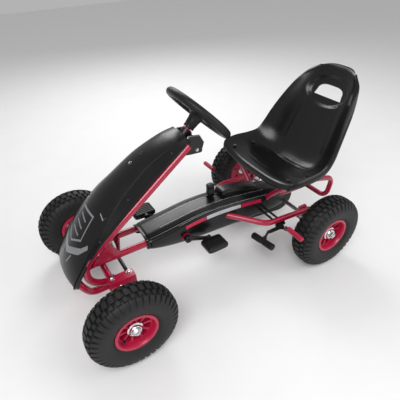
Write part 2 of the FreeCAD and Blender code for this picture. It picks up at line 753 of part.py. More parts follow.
def steering_wheel():
    """Rim, three spokes and the thick neck, turned about the column axis."""
    ring_r = size("wheel_rim_radius")
    rim = Part.makeTorus(ring_r, size("wheel_grip_radius"))
    neck = rod((0, 0, -size("wheel_rise") + 4), (0, 0, 8), 17.0)
    hub_disc = rod((0, 0, -10), (0, 0, 12), 30.0)
    pieces = [rim, neck, hub_disc]
    for turn in (90, 210, 330):
        spoke = Part.makeBox(ring_r - 14, 26.0, 10.0, Vector(14, -13, -5))
        spoke.rotate(Vector(0, 0, 0), Vector(0, 0, 1), turn)
        pieces.append(spoke)
    wheel = fused(pieces)
    wheel = wheel.cut(rod((0, 0, -80), (0, 0, -6), size("column_radius")))
    wheel.rotate(Vector(0, 0, 0), Vector(0, 1, 0), size("column_tilt") - 90.0)
    wheel.translate(column_point(-size("wheel_rise")))
    feature("steering_wheel", wheel)


def below_column():
    """The direction at right angles to the column, down and to the rear."""
    tilt = math.radians(size("column_tilt"))
    return Vector(-math.sin(tilt), 0, -math.cos(tilt))


def pitman_pin(along):
    """A point on the pitman pin's axis, parallel to the column; 0 is where the fork holds it."""
    return column_point(size("column_length") - 6 + along) + below_column() * size("pitman_length")


def steering_column():
    """The shaft from the steering wheel down to the pitman arm."""
    shaft = rod(column_point(-size("wheel_rise") + 7), column_point(size("column_length") + 2),
                size("column_radius"))
    collar = rod(column_point(2), column_point(13), 15.0)
    feature("steering_column", fused([shaft, collar]))


def pitman_arm():
    """A clamp on the column, an arm at right angles to it, and a pin parallel to it."""
    above = size("pitman_above")
    root = size("column_length") - 6 - above
    hub = rod(column_point(root - 8), column_point(root + 8), 13.0)
    arm = rod(column_point(root), pitman_pin(-above), 3.6)
    pin = rod(pitman_pin(-above - 3.6), pitman_pin(9), size("pitman_pin_radius"))
    arm = fused([hub, arm, pin])
    feature("pitman_arm", arm.cut(rod(column_point(300), column_point(500), size("column_radius"))))


def knuckles():
    """A channel on each kingpin, with the tie rod pin at its rear end, and the stub axle on it."""
    x = size("kingpin_x")
    y = size("kingpin_y")
    low = size("knuckle_low")
    high = size("knuckle_high")
    sheet_t = size("knuckle_plate")
    outer = size("knuckle_outer_y")
    rear = x - size("steer_arm") - 14
    length = x + 14 - rear
    bore = size("kingpin_radius") + size("running_clearance")
    pin_x = x - size("steer_arm")
    top = Part.makeBox(length, outer - y + 10, sheet_t, Vector(rear, y - 10, high - sheet_t))
    bottom = Part.makeBox(length, outer - y + 10, sheet_t, Vector(rear, y - 10, low))
    web = Part.makeBox(length, sheet_t, high - low, Vector(rear, outer - sheet_t, low))
    pin = rod((pin_x, y, low), (pin_x, y, high + 1), size("tie_pin_radius"))
    pin_head = rod((pin_x, y, high - 0.5), (pin_x, y, high + 5), 6.5)
    left = fused([top, bottom, web, pin, pin_head])
    left = left.cut(rod((x, y, low - 5), (x, y, high + 5), bore))
    left = left.cut(rod((x - 18, outer - 8, low + 13), (x - 18, outer + 2, low + 13), 4.0))
    feature("steering_knuckle_left", left)
    feature("steering_knuckle_right", mirrored(left))
    z = size("tyre_radius")
    wheel_y = size("wheel_y")
    shaft_end = wheel_y + size("disc_offset") + 22
    axle_x = size("axle_x")
    shaft = rod((axle_x, outer - 1, z), (axle_x, shaft_end, z), size("stub_radius"))
    shoulder = rod((axle_x, outer, z), (axle_x, hub_inner() - 0.5, z), size("stub_radius") + 4)
    nut = rod((axle_x, hub_outer() + 0.5, z), (axle_x, shaft_end - 1, z), 9.0)
    stub = fused([shaft, shoulder, nut])
    feature("stub_axle_left", stub)
    feature("stub_axle_right", mirrored(stub))


def tie_rod():
    """The bar between the knuckles, with an eye at each end and a fork for the pitman pin."""
    x = size("kingpin_x") - size("steer_arm")
    y = size("kingpin_y")
    z = size("tie_height")
    radius = size("tie_radius")
    pieces = [rod((x, -y + 8, z), (x, y - 8, z), radius)]
    for side in SIDES.values():
        pieces.append(rod((x, side * y, z - 5), (x, side * y, z + 5), 10.0))
    gap = size("pitman_pin_radius") + 1.0
    thickness = 2.5
    upper = pitman_pin(-7)
    lower = pitman_pin(8)
    rise = below_column() * -11.0
    fork = [(x - 6, z), (x + 6, z - 3), (lower.x + rise.x, lower.z + rise.z),
            (upper.x + rise.x, upper.z + rise.z)]
    for low_y in (gap, -gap - thickness):
        pieces.append(plate(fork, low_y, thickness))
    bar = fused(pieces)
    pin = size("tie_pin_radius")
    bar = bar.cut(rod((x, y, z - 9), (x, y, z + 9), pin + size("running_clearance")))
    bar = bar.cut(rod((x, -y, z - 9), (x, -y, z + 9), pin + 0.8))
    feature("tie_rod", bar)


# ---------------------------------------------------------------- wheels

def hub_inner():
    """The hub's inboard end on the left side."""
    return size("wheel_y") + size("disc_offset") + 12 - size("hub_length")


def hub_outer():
    """The hub's outboard end on the left side."""
    return size("wheel_y") + size("disc_offset") + 12


def tyre(node, x, side):
    """A pneumatic tyre with block lugs; each lug's outer face is flat."""
    made = body(node)
    half = size("tyre_width") / 2
    bead = size("bead_radius")
    crown = size("carcass_radius")
    profile = sketch(made, node + "_section", "XY_Plane")
    points = [(bead, -24.5), (bead + 5.5, -30), (bead + 8, -35), (bead + 16, -half + 3),
              (bead + 30, -half),
              (crown - 20, -half + 2),
              (crown - 6, -half + 12), (crown - 1, -half + 24), (crown, -6), (crown, 6),
              (crown - 1, half - 24),
              (crown - 6, half - 12), (crown - 20, half - 2), (bead + 30, half),
              (bead + 16, half - 3), (bead + 8, 35), (bead + 5.5, 30), (bead, 24.5), (bead, 18), (bead + 8, 24), (bead + 24, half - 8),
              (crown - 10, 26), (crown - 8, 0), (crown - 10, -26), (bead + 24, -half + 8), (bead + 8, -24),
              (bead, -18)]
    outline(profile, points)
    revolve(made, profile, "Y_Axis")
    centre = sketch(made, node + "_centre_lug", "XY_Plane", crown - 6)
    rectangle(centre, "Sizes.lug_length", "Sizes.lug_width")
    centre_pad = pad(made, centre, "Sizes.tyre_radius - Sizes.carcass_radius + 6", midplane=False)
    shoulders = []
    for index, edge in enumerate((1, -1)):
        lug = sketch(made, "%s_shoulder_lug_%d" % (node, index), "XY_Plane", crown - 22)
        rectangle(lug, "Sizes.lug_length * 0.8", "10", 0.0, edge * (half - 10))
        shoulders.append(pad(made, lug, "15", midplane=False))
    doc.recompute()
    around(made, [centre_pad] + shoulders, "Y_Axis", int(size("lug_count")))
    finish(made, node, "%f * Sizes.axle_x" % x, "%d * Sizes.wheel_y" % side, "Sizes.tyre_radius")


def rim(node, x, side):
    """A pressed rim with a flange each side and a disc with round openings."""
    made = body(node)
    wall = size("rim_wall")
    half = size("rim_half_width")
    flange = size("rim_radius")
    well = size("bead_radius") - wall - 0.2
    disc = side * size("disc_offset")
    profile = sketch(made, node + "_section", "XY_Plane")
    outline(profile, [(well, -half + 3), (flange, -half), (flange, -half + wall), (well + wall, -half + 8),
                      (well + wall, half - 8), (flange, half - wall), (flange, half), (well, half - 3)])
    revolve(made, profile, "Y_Axis")
    plate_sketch = sketch(made, node + "_disc", "XZ_Plane", -disc)
    circle(plate_sketch, "%f + 1" % well)
    circle(plate_sketch, "Sizes.hub_radius")
    pad(made, plate_sketch, "Sizes.rim_wall + 1")
    doc.recompute()
    opening = sketch(made, node + "_window", "XZ_Plane")
    circle(opening, "Sizes.window_radius", size("window_pitch_radius"), 0.0)
    cut = through_cut(made, opening)
    around(made, [cut], "Y_Axis", int(size("window_count")))
    finish(made, node, "%f * Sizes.axle_x" % x, "%d * Sizes.wheel_y" % side, "Sizes.tyre_radius")


def hub(node, x, side, bore):
    """A hub barrel with a bolted flange on the outside of the disc."""
    made = body(node)
    middle = side * (hub_inner() + hub_outer()) / 2
    barrel = sketch(made, node + "_barrel", "XZ_Plane", -middle)
    circle(barrel, "Sizes.hub_radius")
    circle(barrel, bore)
    pad(made, barrel, "Sizes.hub_length")
    face = side * (size("wheel_y") + size("disc_offset") + size("rim_wall") / 2 + 0.5 + 1.5)
    flange = sketch(made, node + "_flange", "XZ_Plane", -face)
    circle(flange, "Sizes.hub_flange_radius")
    circle(flange, "Sizes.hub_radius - 2")
    pad(made, flange, "3")
    finish(made, node, "%f * Sizes.axle_x" % x, "0", "Sizes.tyre_radius")


def wheels():
    """Four wheels: the front pair turn on stub axles, the rear pair are fixed to the rear axle."""
    front_bore = "Sizes.stub_radius + Sizes.running_clearance"
    for where, side in SIDES.items():
        for end, x, bore in (("front", 1, front_bore), ("rear", -1, "Sizes.axle_radius")):
            tyre("%s_tyre_%s" % (end, where), x, side)
            rim("%s_rim_%s" % (end, where), x, side)
            hub("%s_hub_%s" % (end, where), x, side, bore)


# ---------------------------------------------------------------- drive

def pitch_radius(teeth):
    """The radius of the circle that a sprocket's rollers lie on."""
    return size("chain_pitch") / (2 * math.sin(math.pi / teeth))


def sprocket(node, teeth_alias, bore, x, z):
    """A toothed disc on the centre line."""
    made = body(node)
    teeth = int(size(teeth_alias))
    radius = pitch_radius(teeth)
    disc = sketch(made, node + "_disc", "XZ_Plane")
    circle(disc, "%f + 3" % radius)
    circle(disc, bore)
    pad(made, disc, "Sizes.sprocket_width")
    doc.recompute()
    seat = sketch(made, node + "_roller_seat", "XZ_Plane")
    circle(seat, "4.1", radius, 0.0)
    cut = through_cut(made, seat)
    around(made, [cut], "Y_Axis", teeth)
    finish(made, node, x, "0", z)


def chain():
    """The chain's two rows of side plates, and its pins along the straight runs."""
    front = Vector(size("crank_x"), 0, size("crank_z"))
    rear = Vector(-size("axle_x"), 0, size("tyre_radius"))
    front_r = pitch_radius(int(size("front_teeth")))
    rear_r = pitch_radius(int(size("rear_teeth")))
    span = rear - front
    along = math.atan2(span.z, span.x)
    lean = math.asin((rear_r - front_r) / span.Length)

    def loop(grow):
        """The chain line grown outwards by a distance, as a face on the centre plane."""
        ends = []
        for turn in (1, -1):
            angle = along + turn * (math.pi / 2 + lean)
            direction = Vector(math.cos(angle), 0, math.sin(angle))
            ends.append((front + direction * (front_r + grow), rear + direction * (rear_r + grow)))
        (front_a, rear_a), (front_b, rear_b) = ends
        away = (rear - front).normalize()
        wire = Part.Wire([Part.Arc(front_a, front - away * (front_r + grow), front_b).toShape(),
                          Part.LineSegment(front_b, rear_b).toShape(),
                          Part.Arc(rear_b, rear + away * (rear_r + grow), rear_a).toShape(),
                          Part.LineSegment(rear_a, front_a).toShape()])
        return Part.Face(wire), ends

    outer, _ = loop(4.0)
    inner, _ = loop(-4.0)
    band = outer.cut(inner)
    _, ends = loop(0.0)
    half = size("chain_width") / 2
    pieces = []
    for low in (-half, half - 1.6):
        strip = band.copy()
        strip.translate(Vector(0, low, 0))
        pieces.append(strip.extrude(Vector(0, 1.6, 0)))
    for start, stop in ends:
        count = int((stop - start).Length / size("chain_pitch"))
        for step in range(2, count - 1):
            at = start + (stop - start) * (step / count)
            pieces.append(rod((at.x, -half + 0.4, at.z), (at.x, half - 0.4, at.z), 1.8))
    feature("drive_chain", fused(pieces))


def rear_axle():
    """The live axle through both wheels, with a nut at each end."""
    x = -size("axle_x")
    z = size("tyre_radius")
    end = hub_outer() + 12
    pieces = [rod((x, -end, z), (x, end, z), size("axle_radius"))]
    for side in SIDES.values():
        pieces.append(rod((x, side * hub_outer(), z), (x, side * (end - 3), z), 11.0))
        pieces.append(rod((x, side * (size("bracket_y") + size("bearing_width") + 0.6), z),
                          (x, side * (size("bracket_y") + size("bearing_width") + 9), z), 10.0))
        pieces.append(rod((x, side * 3, z), (x, side * 12, z), 13.0))
    feature("rear_axle", fused(pieces))


def crank():
    """The crank axle with an arm at each end."""
    x = size("crank_x")
    z = size("crank_z")
    arm_y = size("crank_arm_y")
    angle = math.radians(size("crank_angle"))
    reach = Vector(math.cos(angle), 0, math.sin(angle)) * size("crank_arm")
    pieces = [rod((x, -arm_y - 5, z), (x, arm_y + 5, z), size("crank_radius"))]
    for side, way in ((1, -1), (-1, 1)):
        centre = Vector(x, side * arm_y, z)
        tip = centre + reach * way
        bar = Part.makeBox(size("crank_arm"), 8.0, 16.0, Vector(0, -4, -8))
        bar.rotate(Vector(0, 0, 0), Vector(0, 1, 0), -size("crank_angle") + (180 if way < 0 else 0))
        bar.translate(centre)
        pieces.append(bar)
        pieces.append(rod(centre - Vector(0, 6, 0), centre + Vector(0, 6, 0), 13.0))
        pieces.append(rod(tip - Vector(0, 5, 0), tip + Vector(0, 5, 0), 10.0))
        spindle_end = tip + Vector(0, side * (size("pedal_y") - arm_y + size("pedal_width") / 2 - 4), 0)
        pieces.append(rod(tip, spindle_end, size("spindle_radius")))
    pieces.append(rod((x, -9, z), (x, 9, z), 15.0))
    feature("crank", fused(pieces))


def pedals():
    """A ribbed pedal block on each spindle."""
    angle = math.radians(size("crank_angle"))
    length = size("pedal_length")
    height = size("pedal_height")
    for (where, side), way in zip(SIDES.items(), (-1, 1)):
        x = size("crank_x") + way * size("crank_arm") * math.cos(angle)
        z = size("crank_z") + way * size("crank_arm") * math.sin(angle)
        y = side * size("pedal_y")
        made = body("pedal_" + where)
        block = sketch(made, "pedal_%s_block" % where, "XY_Plane")
        rectangle(block, "Sizes.pedal_length", "Sizes.pedal_width")
        pad(made, block, "Sizes.pedal_height")
        doc.recompute()
        groove = sketch(made, "pedal_%s_groove" % where, "XY_Plane", height / 2 - 2)
        rectangle(groove, "4", "Sizes.pedal_width - 12", -length / 2 + 9)
        cut = made.newObject("PartDesign::Pocket", "pedal_%s_groove_cut" % where)
        cut.Profile = groove
        cut.Length = 3.0
        cut.Reversed = True
        doc.recompute()
        rows = made.newObject("PartDesign::LinearPattern", "pedal_%s_grooves" % where)
        rows.Originals = [cut]
        rows.Direction = (origin_plane(made, "X_Axis"), [""])
        rows.Length = length - 18
        rows.Occurrences = 6
        made.Tip = rows
        doc.recompute()
        bore = sketch(made, "pedal_%s_bore" % where, "XZ_Plane")
        circle(bore, "Sizes.spindle_radius + Sizes.running_clearance")
        through_cut(made, bore)
        finish(made, "pedal_" + where, "%f" % x, "%f" % y, "%f" % z)


# ---------------------------------------------------------------- hand controls

def brake():
    """The cranked brake bar, its sleeves ahead of the rear tyres, and the hand lever on the left."""
    x = size("brake_x")
    z = size("brake_z")
    sleeve_x = size("sleeve_x")
    sleeve_z = size("sleeve_z")
    half = [(sleeve_x, 286, sleeve_z), (sleeve_x, 213, sleeve_z), (x, 190, z)]
    route = half + [(px, -py, pz) for px, py, pz in reversed(half)]
    feature("brake_bar", bent_tube(route, size("brake_radius"), 11.0))
    sleeves = []
    for side in SIDES.values():
        outer = rod((sleeve_x, side * 224, sleeve_z), (sleeve_x, side * 289, sleeve_z),
                    size("sleeve_radius"))
        bore = rod((sleeve_x, side * 223, sleeve_z), (sleeve_x, side * 286, sleeve_z), size("brake_radius"))
        sleeves.append(outer.cut(bore))
    feature("brake_sleeves", Part.makeCompound(sleeves))
    corners = [(x - 9, z - 10), (x + 50, z - 8), (x + 60, z - 4), (x + 60, z + 5), (x - 9, z + 6)]
    boss = rod((x, 157, z), (x, 171, z), 9.0)
    stem = rod((x + 57, 163.5, z), (x + 72, 160, z - 34), 4.0)
    lever = fused([plate(corners, 161.0, 5.0), boss, stem])
    feature("brake_lever", lever.cut(rod((x, 150, z), (x, 180, z), size("brake_radius"))))
    grip = rod((x + 80, 113, z - 38), (x + 64, 204, z - 38), 12.0)
    grip = grip.cut(rod((x + 57, 163.5, z), (x + 72, 160, z - 34), 4.0))
    feature("brake_handle", grip)


def hand_lever():
    """The free-wheel lever on the cover, with its grip."""
    x = size("lever_x")
    y = size("lever_y")
    z = size("lever_z")
    blade = Part.makeBox(14.0, 8.0, 42.0, Vector(x - 7, y - 4, z))
    stem = blade.fuse(rod((x, y - 4, z), (x, y + 4, z), 6.0))
    feature("hand_lever", stem.cut(rod((x, y - 9, z), (x, y + 9, z), 3.0 + size("running_clearance"))))
    grip = Part.makeBox(32.0, 30.0, 41.0, Vector(x - 16, y - 15, z + 22))
    grip = grip.makeFillet(8.0, grip.Edges)
    feature("hand_lever_grip", grip.cut(blade))
    pin = rod((x, y - 11, z), (x, y + 11, z), 3.0)
    ears = [Part.makeBox(18.0, 3.0, 15.0, Vector(x - 9, low, z - 7)) for low in (y - 9, y + 6)]
    bridge = Part.makeBox(18.0, 96.0, 2.0, Vector(x - 9, -48, z - 8.5))
    feet = [Part.makeBox(18.0, 6.0, 15.0, Vector(x - 9, side * 45 - 3, z - 22)) for side in SIDES.values()]
    feature("lever_pivot", fused([bridge, pin] + ears + feet))


# ---------------------------------------------------------------- build and write

main_rails()
nose_tubes()
front_bumper()
front_axle_beam()
kingpins()
nose_gussets()
nose_saddle()
steering_head()
steering_bushes()
side_tubes()
axle_brackets()
axle_bearings()
seat_tubes()
crank_shells()
crank_bushes()
brake_brackets()
tie_bar()
nose_fairing()
chain_cover()
lever_housing()
chain_case()
seat_shell()
seat_bolts()
steering_wheel()
steering_column()
pitman_arm()
knuckles()
tie_rod()
wheels()
sprocket("rear_sprocket", "rear_teeth", "13", "-Sizes.axle_x", "Sizes.tyre_radius")
sprocket("chainwheel", "front_teeth", "15", "Sizes.crank_x", "Sizes.crank_z")
chain()
rear_axle()
crank()
pedals()
brake()
hand_lever()
doc.recompute()

for obj in doc.Objects:
    if "Invalid" in obj.State or "Error" in obj.State:
        raise RuntimeError("%s did not recompute: %s" % (obj.Label, obj.State))
for obj in PARTS:
    if obj.Shape.isNull() or not obj.Shape.isValid():
        raise RuntimeError("%s has no valid shape" % obj.Label)

os.makedirs("parts", exist_ok=True)
for obj in PARTS:
    obj.Shape.exportStep("parts/%s.step" % obj.Label)
print("%d nodes" % len(PARTS))
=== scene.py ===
"""The looks of the pedal go kart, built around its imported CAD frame.

Lengths in the tables below are millimetres about the middle of the wheelbase on the ground, as in the CAD
source; mm() turns them into the frame's metres.  +X is forward, +Y the driver's left, +Z up.
"""

import json
import math

import bmesh
import bpy
from mathutils import Matrix, Vector, noise


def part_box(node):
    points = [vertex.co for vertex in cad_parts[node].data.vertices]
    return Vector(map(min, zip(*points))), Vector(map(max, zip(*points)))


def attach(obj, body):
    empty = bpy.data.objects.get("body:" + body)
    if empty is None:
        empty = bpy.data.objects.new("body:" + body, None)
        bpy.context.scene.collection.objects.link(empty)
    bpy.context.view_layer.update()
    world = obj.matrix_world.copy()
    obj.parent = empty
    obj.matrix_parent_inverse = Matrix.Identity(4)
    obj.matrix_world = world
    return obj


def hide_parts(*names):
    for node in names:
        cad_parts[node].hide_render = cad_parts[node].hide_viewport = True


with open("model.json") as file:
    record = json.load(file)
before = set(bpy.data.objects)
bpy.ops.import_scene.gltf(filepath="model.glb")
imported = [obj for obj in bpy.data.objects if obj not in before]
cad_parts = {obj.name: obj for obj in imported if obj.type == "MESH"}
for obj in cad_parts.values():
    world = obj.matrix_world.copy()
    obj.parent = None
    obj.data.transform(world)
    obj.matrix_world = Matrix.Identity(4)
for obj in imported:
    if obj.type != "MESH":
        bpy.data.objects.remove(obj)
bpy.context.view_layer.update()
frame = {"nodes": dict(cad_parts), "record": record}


def centre(node):
    """The middle of a CAD node's box, in metres."""
    low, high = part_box(node)
    return (low + high) / 2


MID_X = (centre("front_tyre_left").x + centre("rear_tyre_left").x) / 2
SIDES = {"left": 1, "right": -1}


# half the wheelbase and the height of the wheel centres, in millimetres
HALF_BASE = 356.7
WHEEL_Z = 130


def mm(x, y, z):
    """A point about mid wheelbase in millimetres, as a point of the frame in metres."""
    return Vector((MID_X + x / 1000, y / 1000, z / 1000))


# ---------------------------------------------------------------- materials

def material(name, colour, rough, metallic=0.0, grain=400.0, bump=0.05, tint=0.12, coat=0.0, wear=0.08,
             specular=0.5):
    """A surface with a fine grain in its relief, and broad slow changes in colour and gloss."""
    made = bpy.data.materials.new(name)
    made.use_nodes = True
    nodes = made.node_tree.nodes
    links = made.node_tree.links
    shader = nodes["Principled BSDF"]
    shader.inputs["Metallic"].default_value = metallic
    shader.inputs["Specular IOR Level"].default_value = specular
    shader.inputs["Coat Weight"].default_value = coat
    shader.inputs["Coat Roughness"].default_value = 0.12
    place = nodes.new("ShaderNodeTexCoord")
    broad = nodes.new("ShaderNodeTexNoise")
    broad.inputs["Scale"].default_value = 9.0
    broad.inputs["Detail"].default_value = 5.0
    links.new(place.outputs["Object"], broad.inputs["Vector"])
    ramp = nodes.new("ShaderNodeValToRGB")
    ramp.color_ramp.elements[0].position = 0.3
    ramp.color_ramp.elements[1].position = 0.7
    ramp.color_ramp.elements[0].color = (*[c * (1 - tint) for c in colour], 1.0)
    ramp.color_ramp.elements[1].color = (*[min(1.0, c * (1 + tint)) for c in colour], 1.0)
    links.new(broad.outputs["Fac"], ramp.inputs["Fac"])
    links.new(ramp.outputs["Color"], shader.inputs["Base Color"])
    gloss = nodes.new("ShaderNodeMapRange")
    gloss.inputs["To Min"].default_value = max(0.03, rough - wear)
    gloss.inputs["To Max"].default_value = min(1.0, rough + wear)
    links.new(broad.outputs["Fac"], gloss.inputs["Value"])
    links.new(gloss.outputs["Result"], shader.inputs["Roughness"])
    fine = nodes.new("ShaderNodeTexNoise")
    fine.inputs["Scale"].default_value = grain
    fine.inputs["Detail"].default_value = 6.0
    links.new(place.outputs["Object"], fine.inputs["Vector"])
    relief = nodes.new("ShaderNodeBump")
    relief.inputs["Strength"].default_value = bump
    relief.inputs["Distance"].default_value = 0.001
    links.new(fine.outputs["Fac"], relief.inputs["Height"])
    links.new(relief.outputs["Normal"], shader.inputs["Normal"])
    return made


PAINT = material("red_paint", (0.38, 0.004, 0.038), 0.26, grain=260.0, bump=0.05, coat=0.45)
RIM_RED = material("red_rim_moulding", (0.42, 0.006, 0.046), 0.34, grain=500.0, bump=0.04, coat=0.2)
SLEEVE_RED = material("red_sleeve", (0.40, 0.005, 0.042), 0.38, grain=500.0, bump=0.06)
BODY = material("black_moulding", (0.0045, 0.0045, 0.0048), 0.27, grain=900.0, bump=0.10, tint=0.2,
                specular=0.36)
SEAT = material("seat_moulding", (0.0042, 0.0042, 0.0045), 0.24, grain=700.0, bump=0.12, tint=0.2,
                specular=0.42)
CASE = material("chain_case_moulding", (0.010, 0.010, 0.011), 0.42, grain=700.0, bump=0.2, specular=0.36)
GRIP = material("grip_moulding", (0.0055, 0.0055, 0.006), 0.42, grain=1400.0, bump=0.35, specular=0.36)
RUBBER = material("tyre_rubber", (0.0085, 0.0085, 0.009), 0.55, grain=800.0, bump=0.45, tint=0.25,
                  specular=0.4)
BLACK_PAINT = material("black_paint", (0.006, 0.006, 0.0065), 0.34, grain=500.0, bump=0.07, specular=0.45)
BLACK_ZINC = material("black_zinc", (0.05, 0.05, 0.055), 0.35, metallic=0.8, grain=500.0, bump=0.08)
PLATED = material("zinc_plate", (0.62, 0.63, 0.65), 0.27, metallic=1.0, grain=300.0, bump=0.08, tint=0.08)
CHROME = material("bright_plate", (0.80, 0.81, 0.83), 0.15, metallic=1.0, grain=200.0, bump=0.03, tint=0.05)
OILED = material("oiled_steel", (0.20, 0.20, 0.21), 0.36, metallic=1.0, grain=600.0, bump=0.12)
NYLON = material("nylon", (0.012, 0.012, 0.013), 0.5, grain=900.0, bump=0.1)
SILVER = material("silver_print", (0.24, 0.245, 0.26), 0.36, metallic=0.35, grain=700.0, bump=0.03)
LINE = material("pale_print", (0.50, 0.51, 0.53), 0.36, metallic=0.2, grain=700.0, bump=0.03)
PRINT_RED = material("red_print", (0.46, 0.008, 0.05), 0.34, grain=700.0, bump=0.03)


# ---------------------------------------------------------------- mesh helpers

def keep(parts, name, surface, body, replaced=(), sharp=35.0):
    """Make a piece of the parts: smooth shading with sharp edges, a material and a body."""
    mesh = joined(name, parts)
    for face in mesh.polygons:
        face.use_smooth = True
    mesh.set_sharp_from_angle(angle=math.radians(sharp))
    piece = bpy.data.objects.new(name, mesh)
    bpy.context.scene.collection.objects.link(piece)
    mesh.materials.append(surface)
    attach(piece, body)
    if replaced:
        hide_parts(*replaced)
    return piece


def mesh_of(name, points, faces):
    """A mesh from points and faces, its faces turned to look outwards."""
    mesh = bpy.data.meshes.new(name)
    mesh.from_pydata([tuple(p) for p in points], [], faces)
    work = bmesh.new()
    work.from_mesh(mesh)
    bmesh.ops.remove_doubles(work, verts=work.verts, dist=1e-6)
    bmesh.ops.recalc_face_normals(work, faces=work.faces)
    work.to_mesh(mesh)
    work.free()
    return mesh


def joined(name, parts):
    """Several (points, faces) groups as one mesh."""
    points = []
    faces = []
    for some_points, some_faces in parts:
        first = len(points)
        points.extend(some_points)
        faces.extend([tuple(first + index for index in face) for face in some_faces])
    return mesh_of(name, points, faces)


def cut_away(piece, parts, sharp, crossing=False):
    """Cut closed shapes out of a piece; crossing says that they overlap each other."""
    cutter = bpy.data.objects.new("cutter", joined("cutter", parts))
    bpy.context.scene.collection.objects.link(cutter)
    cut = piece.modifiers.new("cut", "BOOLEAN")
    cut.object = cutter
    cut.solver = "EXACT"
    cut.use_self = crossing
    bpy.context.view_layer.update()
    whole = piece.evaluated_get(bpy.context.evaluated_depsgraph_get())
    piece.data = bpy.data.meshes.new_from_object(whole)
    piece.modifiers.clear()
    piece.data.set_sharp_from_angle(angle=math.radians(sharp))
    bpy.data.objects.remove(cutter)


def turns(steps):
    """Angles evenly around a full turn."""
    return [2 * math.pi * k / steps for k in range(steps)]


def squarish(angle, flat_power, high_power):
    """The cosine and sine of an angle, pushed out towards a square by powers below 1."""
    flat = math.cos(angle)
    high = math.sin(angle)
    return math.copysign(abs(flat) ** flat_power, flat), math.copysign(abs(high) ** high_power, high)


def rings(rows, closed_rows=False, cap_ends=False):
    """Faces between rows of points; each row is a closed ring."""
    count = len(rows[0])
    points = [p for row in rows for p in row]
    faces = []
    steps = len(rows) if closed_rows else len(rows) - 1
    for i in range(steps):
        following = (i + 1) % len(rows)
        for j in range(count):
            across = (j + 1) % count
            faces.append((i * count + j, i * count + across, following * count + across, following * count + j))
    if cap_ends:
        faces.append(tuple(range(count)))
        faces.append(tuple((len(rows) - 1) * count + j for j in range(count)))
    return points, faces


def turned(profile, origin, axis, steps=64, closed=False):
    """A profile of (along the axis, radius) in millimetres, turned about an axis through origin."""
    axis = Vector(axis).normalized()
    side = axis.orthogonal().normalized()
    other = axis.cross(side)
    rows = []
    for along, radius in profile:
        middle = origin + axis * (along / 1000)
        rows.append([middle + (side * math.cos(a) + other * math.sin(a)) * (radius / 1000)
                     for a in turns(steps)])
    return rings(rows, closed_rows=closed, cap_ends=not closed)


def bolt(origin, axis, size, length=3.0, sides=6):
    """A washer and a chamfered head standing on a surface, in millimetres."""
    washer = turned([(0, size * 0.3), (0, size * 1.28), (0.4, size * 1.34), (0.9, size * 1.28),
                     (1.0, size * 0.3)], origin, axis, 28)
    head = turned([(0.9, size * 0.3), (0.9, size * 0.92), (1.5, size), (length + 0.6, size),
                   (length + 1.4, size * 0.86), (length + 1.4, size * 0.3)], origin, axis, sides)
    tip = turned([(length, size * 0.1), (length, size * 0.5), (length + 2.6, size * 0.5),
                  (length + 3.1, size * 0.38), (length + 3.1, size * 0.05)], origin, axis, 20)
    return [washer, head, tip]


def rounded_route(points, bend, arc_steps=12):
    """Points along straight runs joined by tangent arcs, all in millimetres."""
    points = [Vector(p) for p in points]
    route = [points[0]]
    for before, corner, after in zip(points, points[1:], points[2:]):
        incoming = (before - corner).normalized()
        outgoing = (after - corner).normalized()
        half = incoming.angle(outgoing) / 2
        middle = corner + (incoming + outgoing).normalized() * (bend / math.sin(half))
        first = corner + incoming * (bend / math.tan(half))
        last = corner + outgoing * (bend / math.tan(half))
        sweep = math.pi - 2 * half
        start_arm = (first - middle).normalized()
        end_arm = (last - middle).normalized()
        for step in range(arc_steps + 1):
            share = step / arc_steps
            arm = (start_arm * math.sin((1 - share) * sweep)
                   + end_arm * math.sin(share * sweep)) / math.sin(sweep)
            route.append(middle + arm * bend)
    route.append(points[-1])
    return route


def swept(route, radius_at, steps=28):
    """A round section carried along a route in millimetres, its radius given by share of length."""
    lengths = [0.0]
    for a, b in zip(route, route[1:]):
        lengths.append(lengths[-1] + (b - a).length)
    rows = []
    side = (route[1] - route[0]).orthogonal().normalized()
    for index, point in enumerate(route):
        ahead = route[min(index + 1, len(route) - 1)] - route[max(index - 1, 0)]
        along = ahead.normalized()
        side = (side - along * side.dot(along)).normalized()
        other = along.cross(side)
        radius = radius_at(lengths[index] / lengths[-1])
        rows.append([mm(*(point + (side * math.cos(a) + other * math.sin(a)) * radius))
                     for a in turns(steps)])
    return rings(rows, cap_ends=True)


def even_route(route, spacing):
    """The same route with extra points, so that long runs are divided too."""
    filled = [route[0]]
    for a, b in zip(route, route[1:]):
        count = max(1, int((b - a).length / spacing))
        filled.extend(a + (b - a) * (step / count) for step in range(1, count + 1))
    return filled


def tube(points, radius, bend):
    """A frame tube with a rounded plug at each end."""
    route = rounded_route(points, bend)
    parts = [swept(route, lambda share: radius)]
    for end, before in ((route[0], route[1]), (route[-1], route[-2])):
        parts.append(turned([(-2.0, radius * 0.9), (0.2, radius * 0.9), (1.0, radius * 0.72),
                             (1.3, radius * 0.4)], mm(*end), end - before, 28))
    return parts


def weld(origin, axis, radius, bead=2.0, steps=96):
    """A lumpy weld bead around a joint, in millimetres."""
    axis = Vector(axis).normalized()
    side = axis.orthogonal().normalized()
    other = axis.cross(side)
    rows = []
    origin = Vector(origin)
    for angle in turns(steps):
        out = side * math.cos(angle) + other * math.sin(angle)
        ripple = bead * (0.85 + 0.22 * math.sin(angle * 22) + 0.2 * noise.noise(origin + out * 3.0))
        rows.append([mm(*(origin + out * (radius + ripple * math.cos(b)) + axis * ripple * math.sin(b)))
                     for b in turns(8)])
    return rings(rows, closed_rows=True)


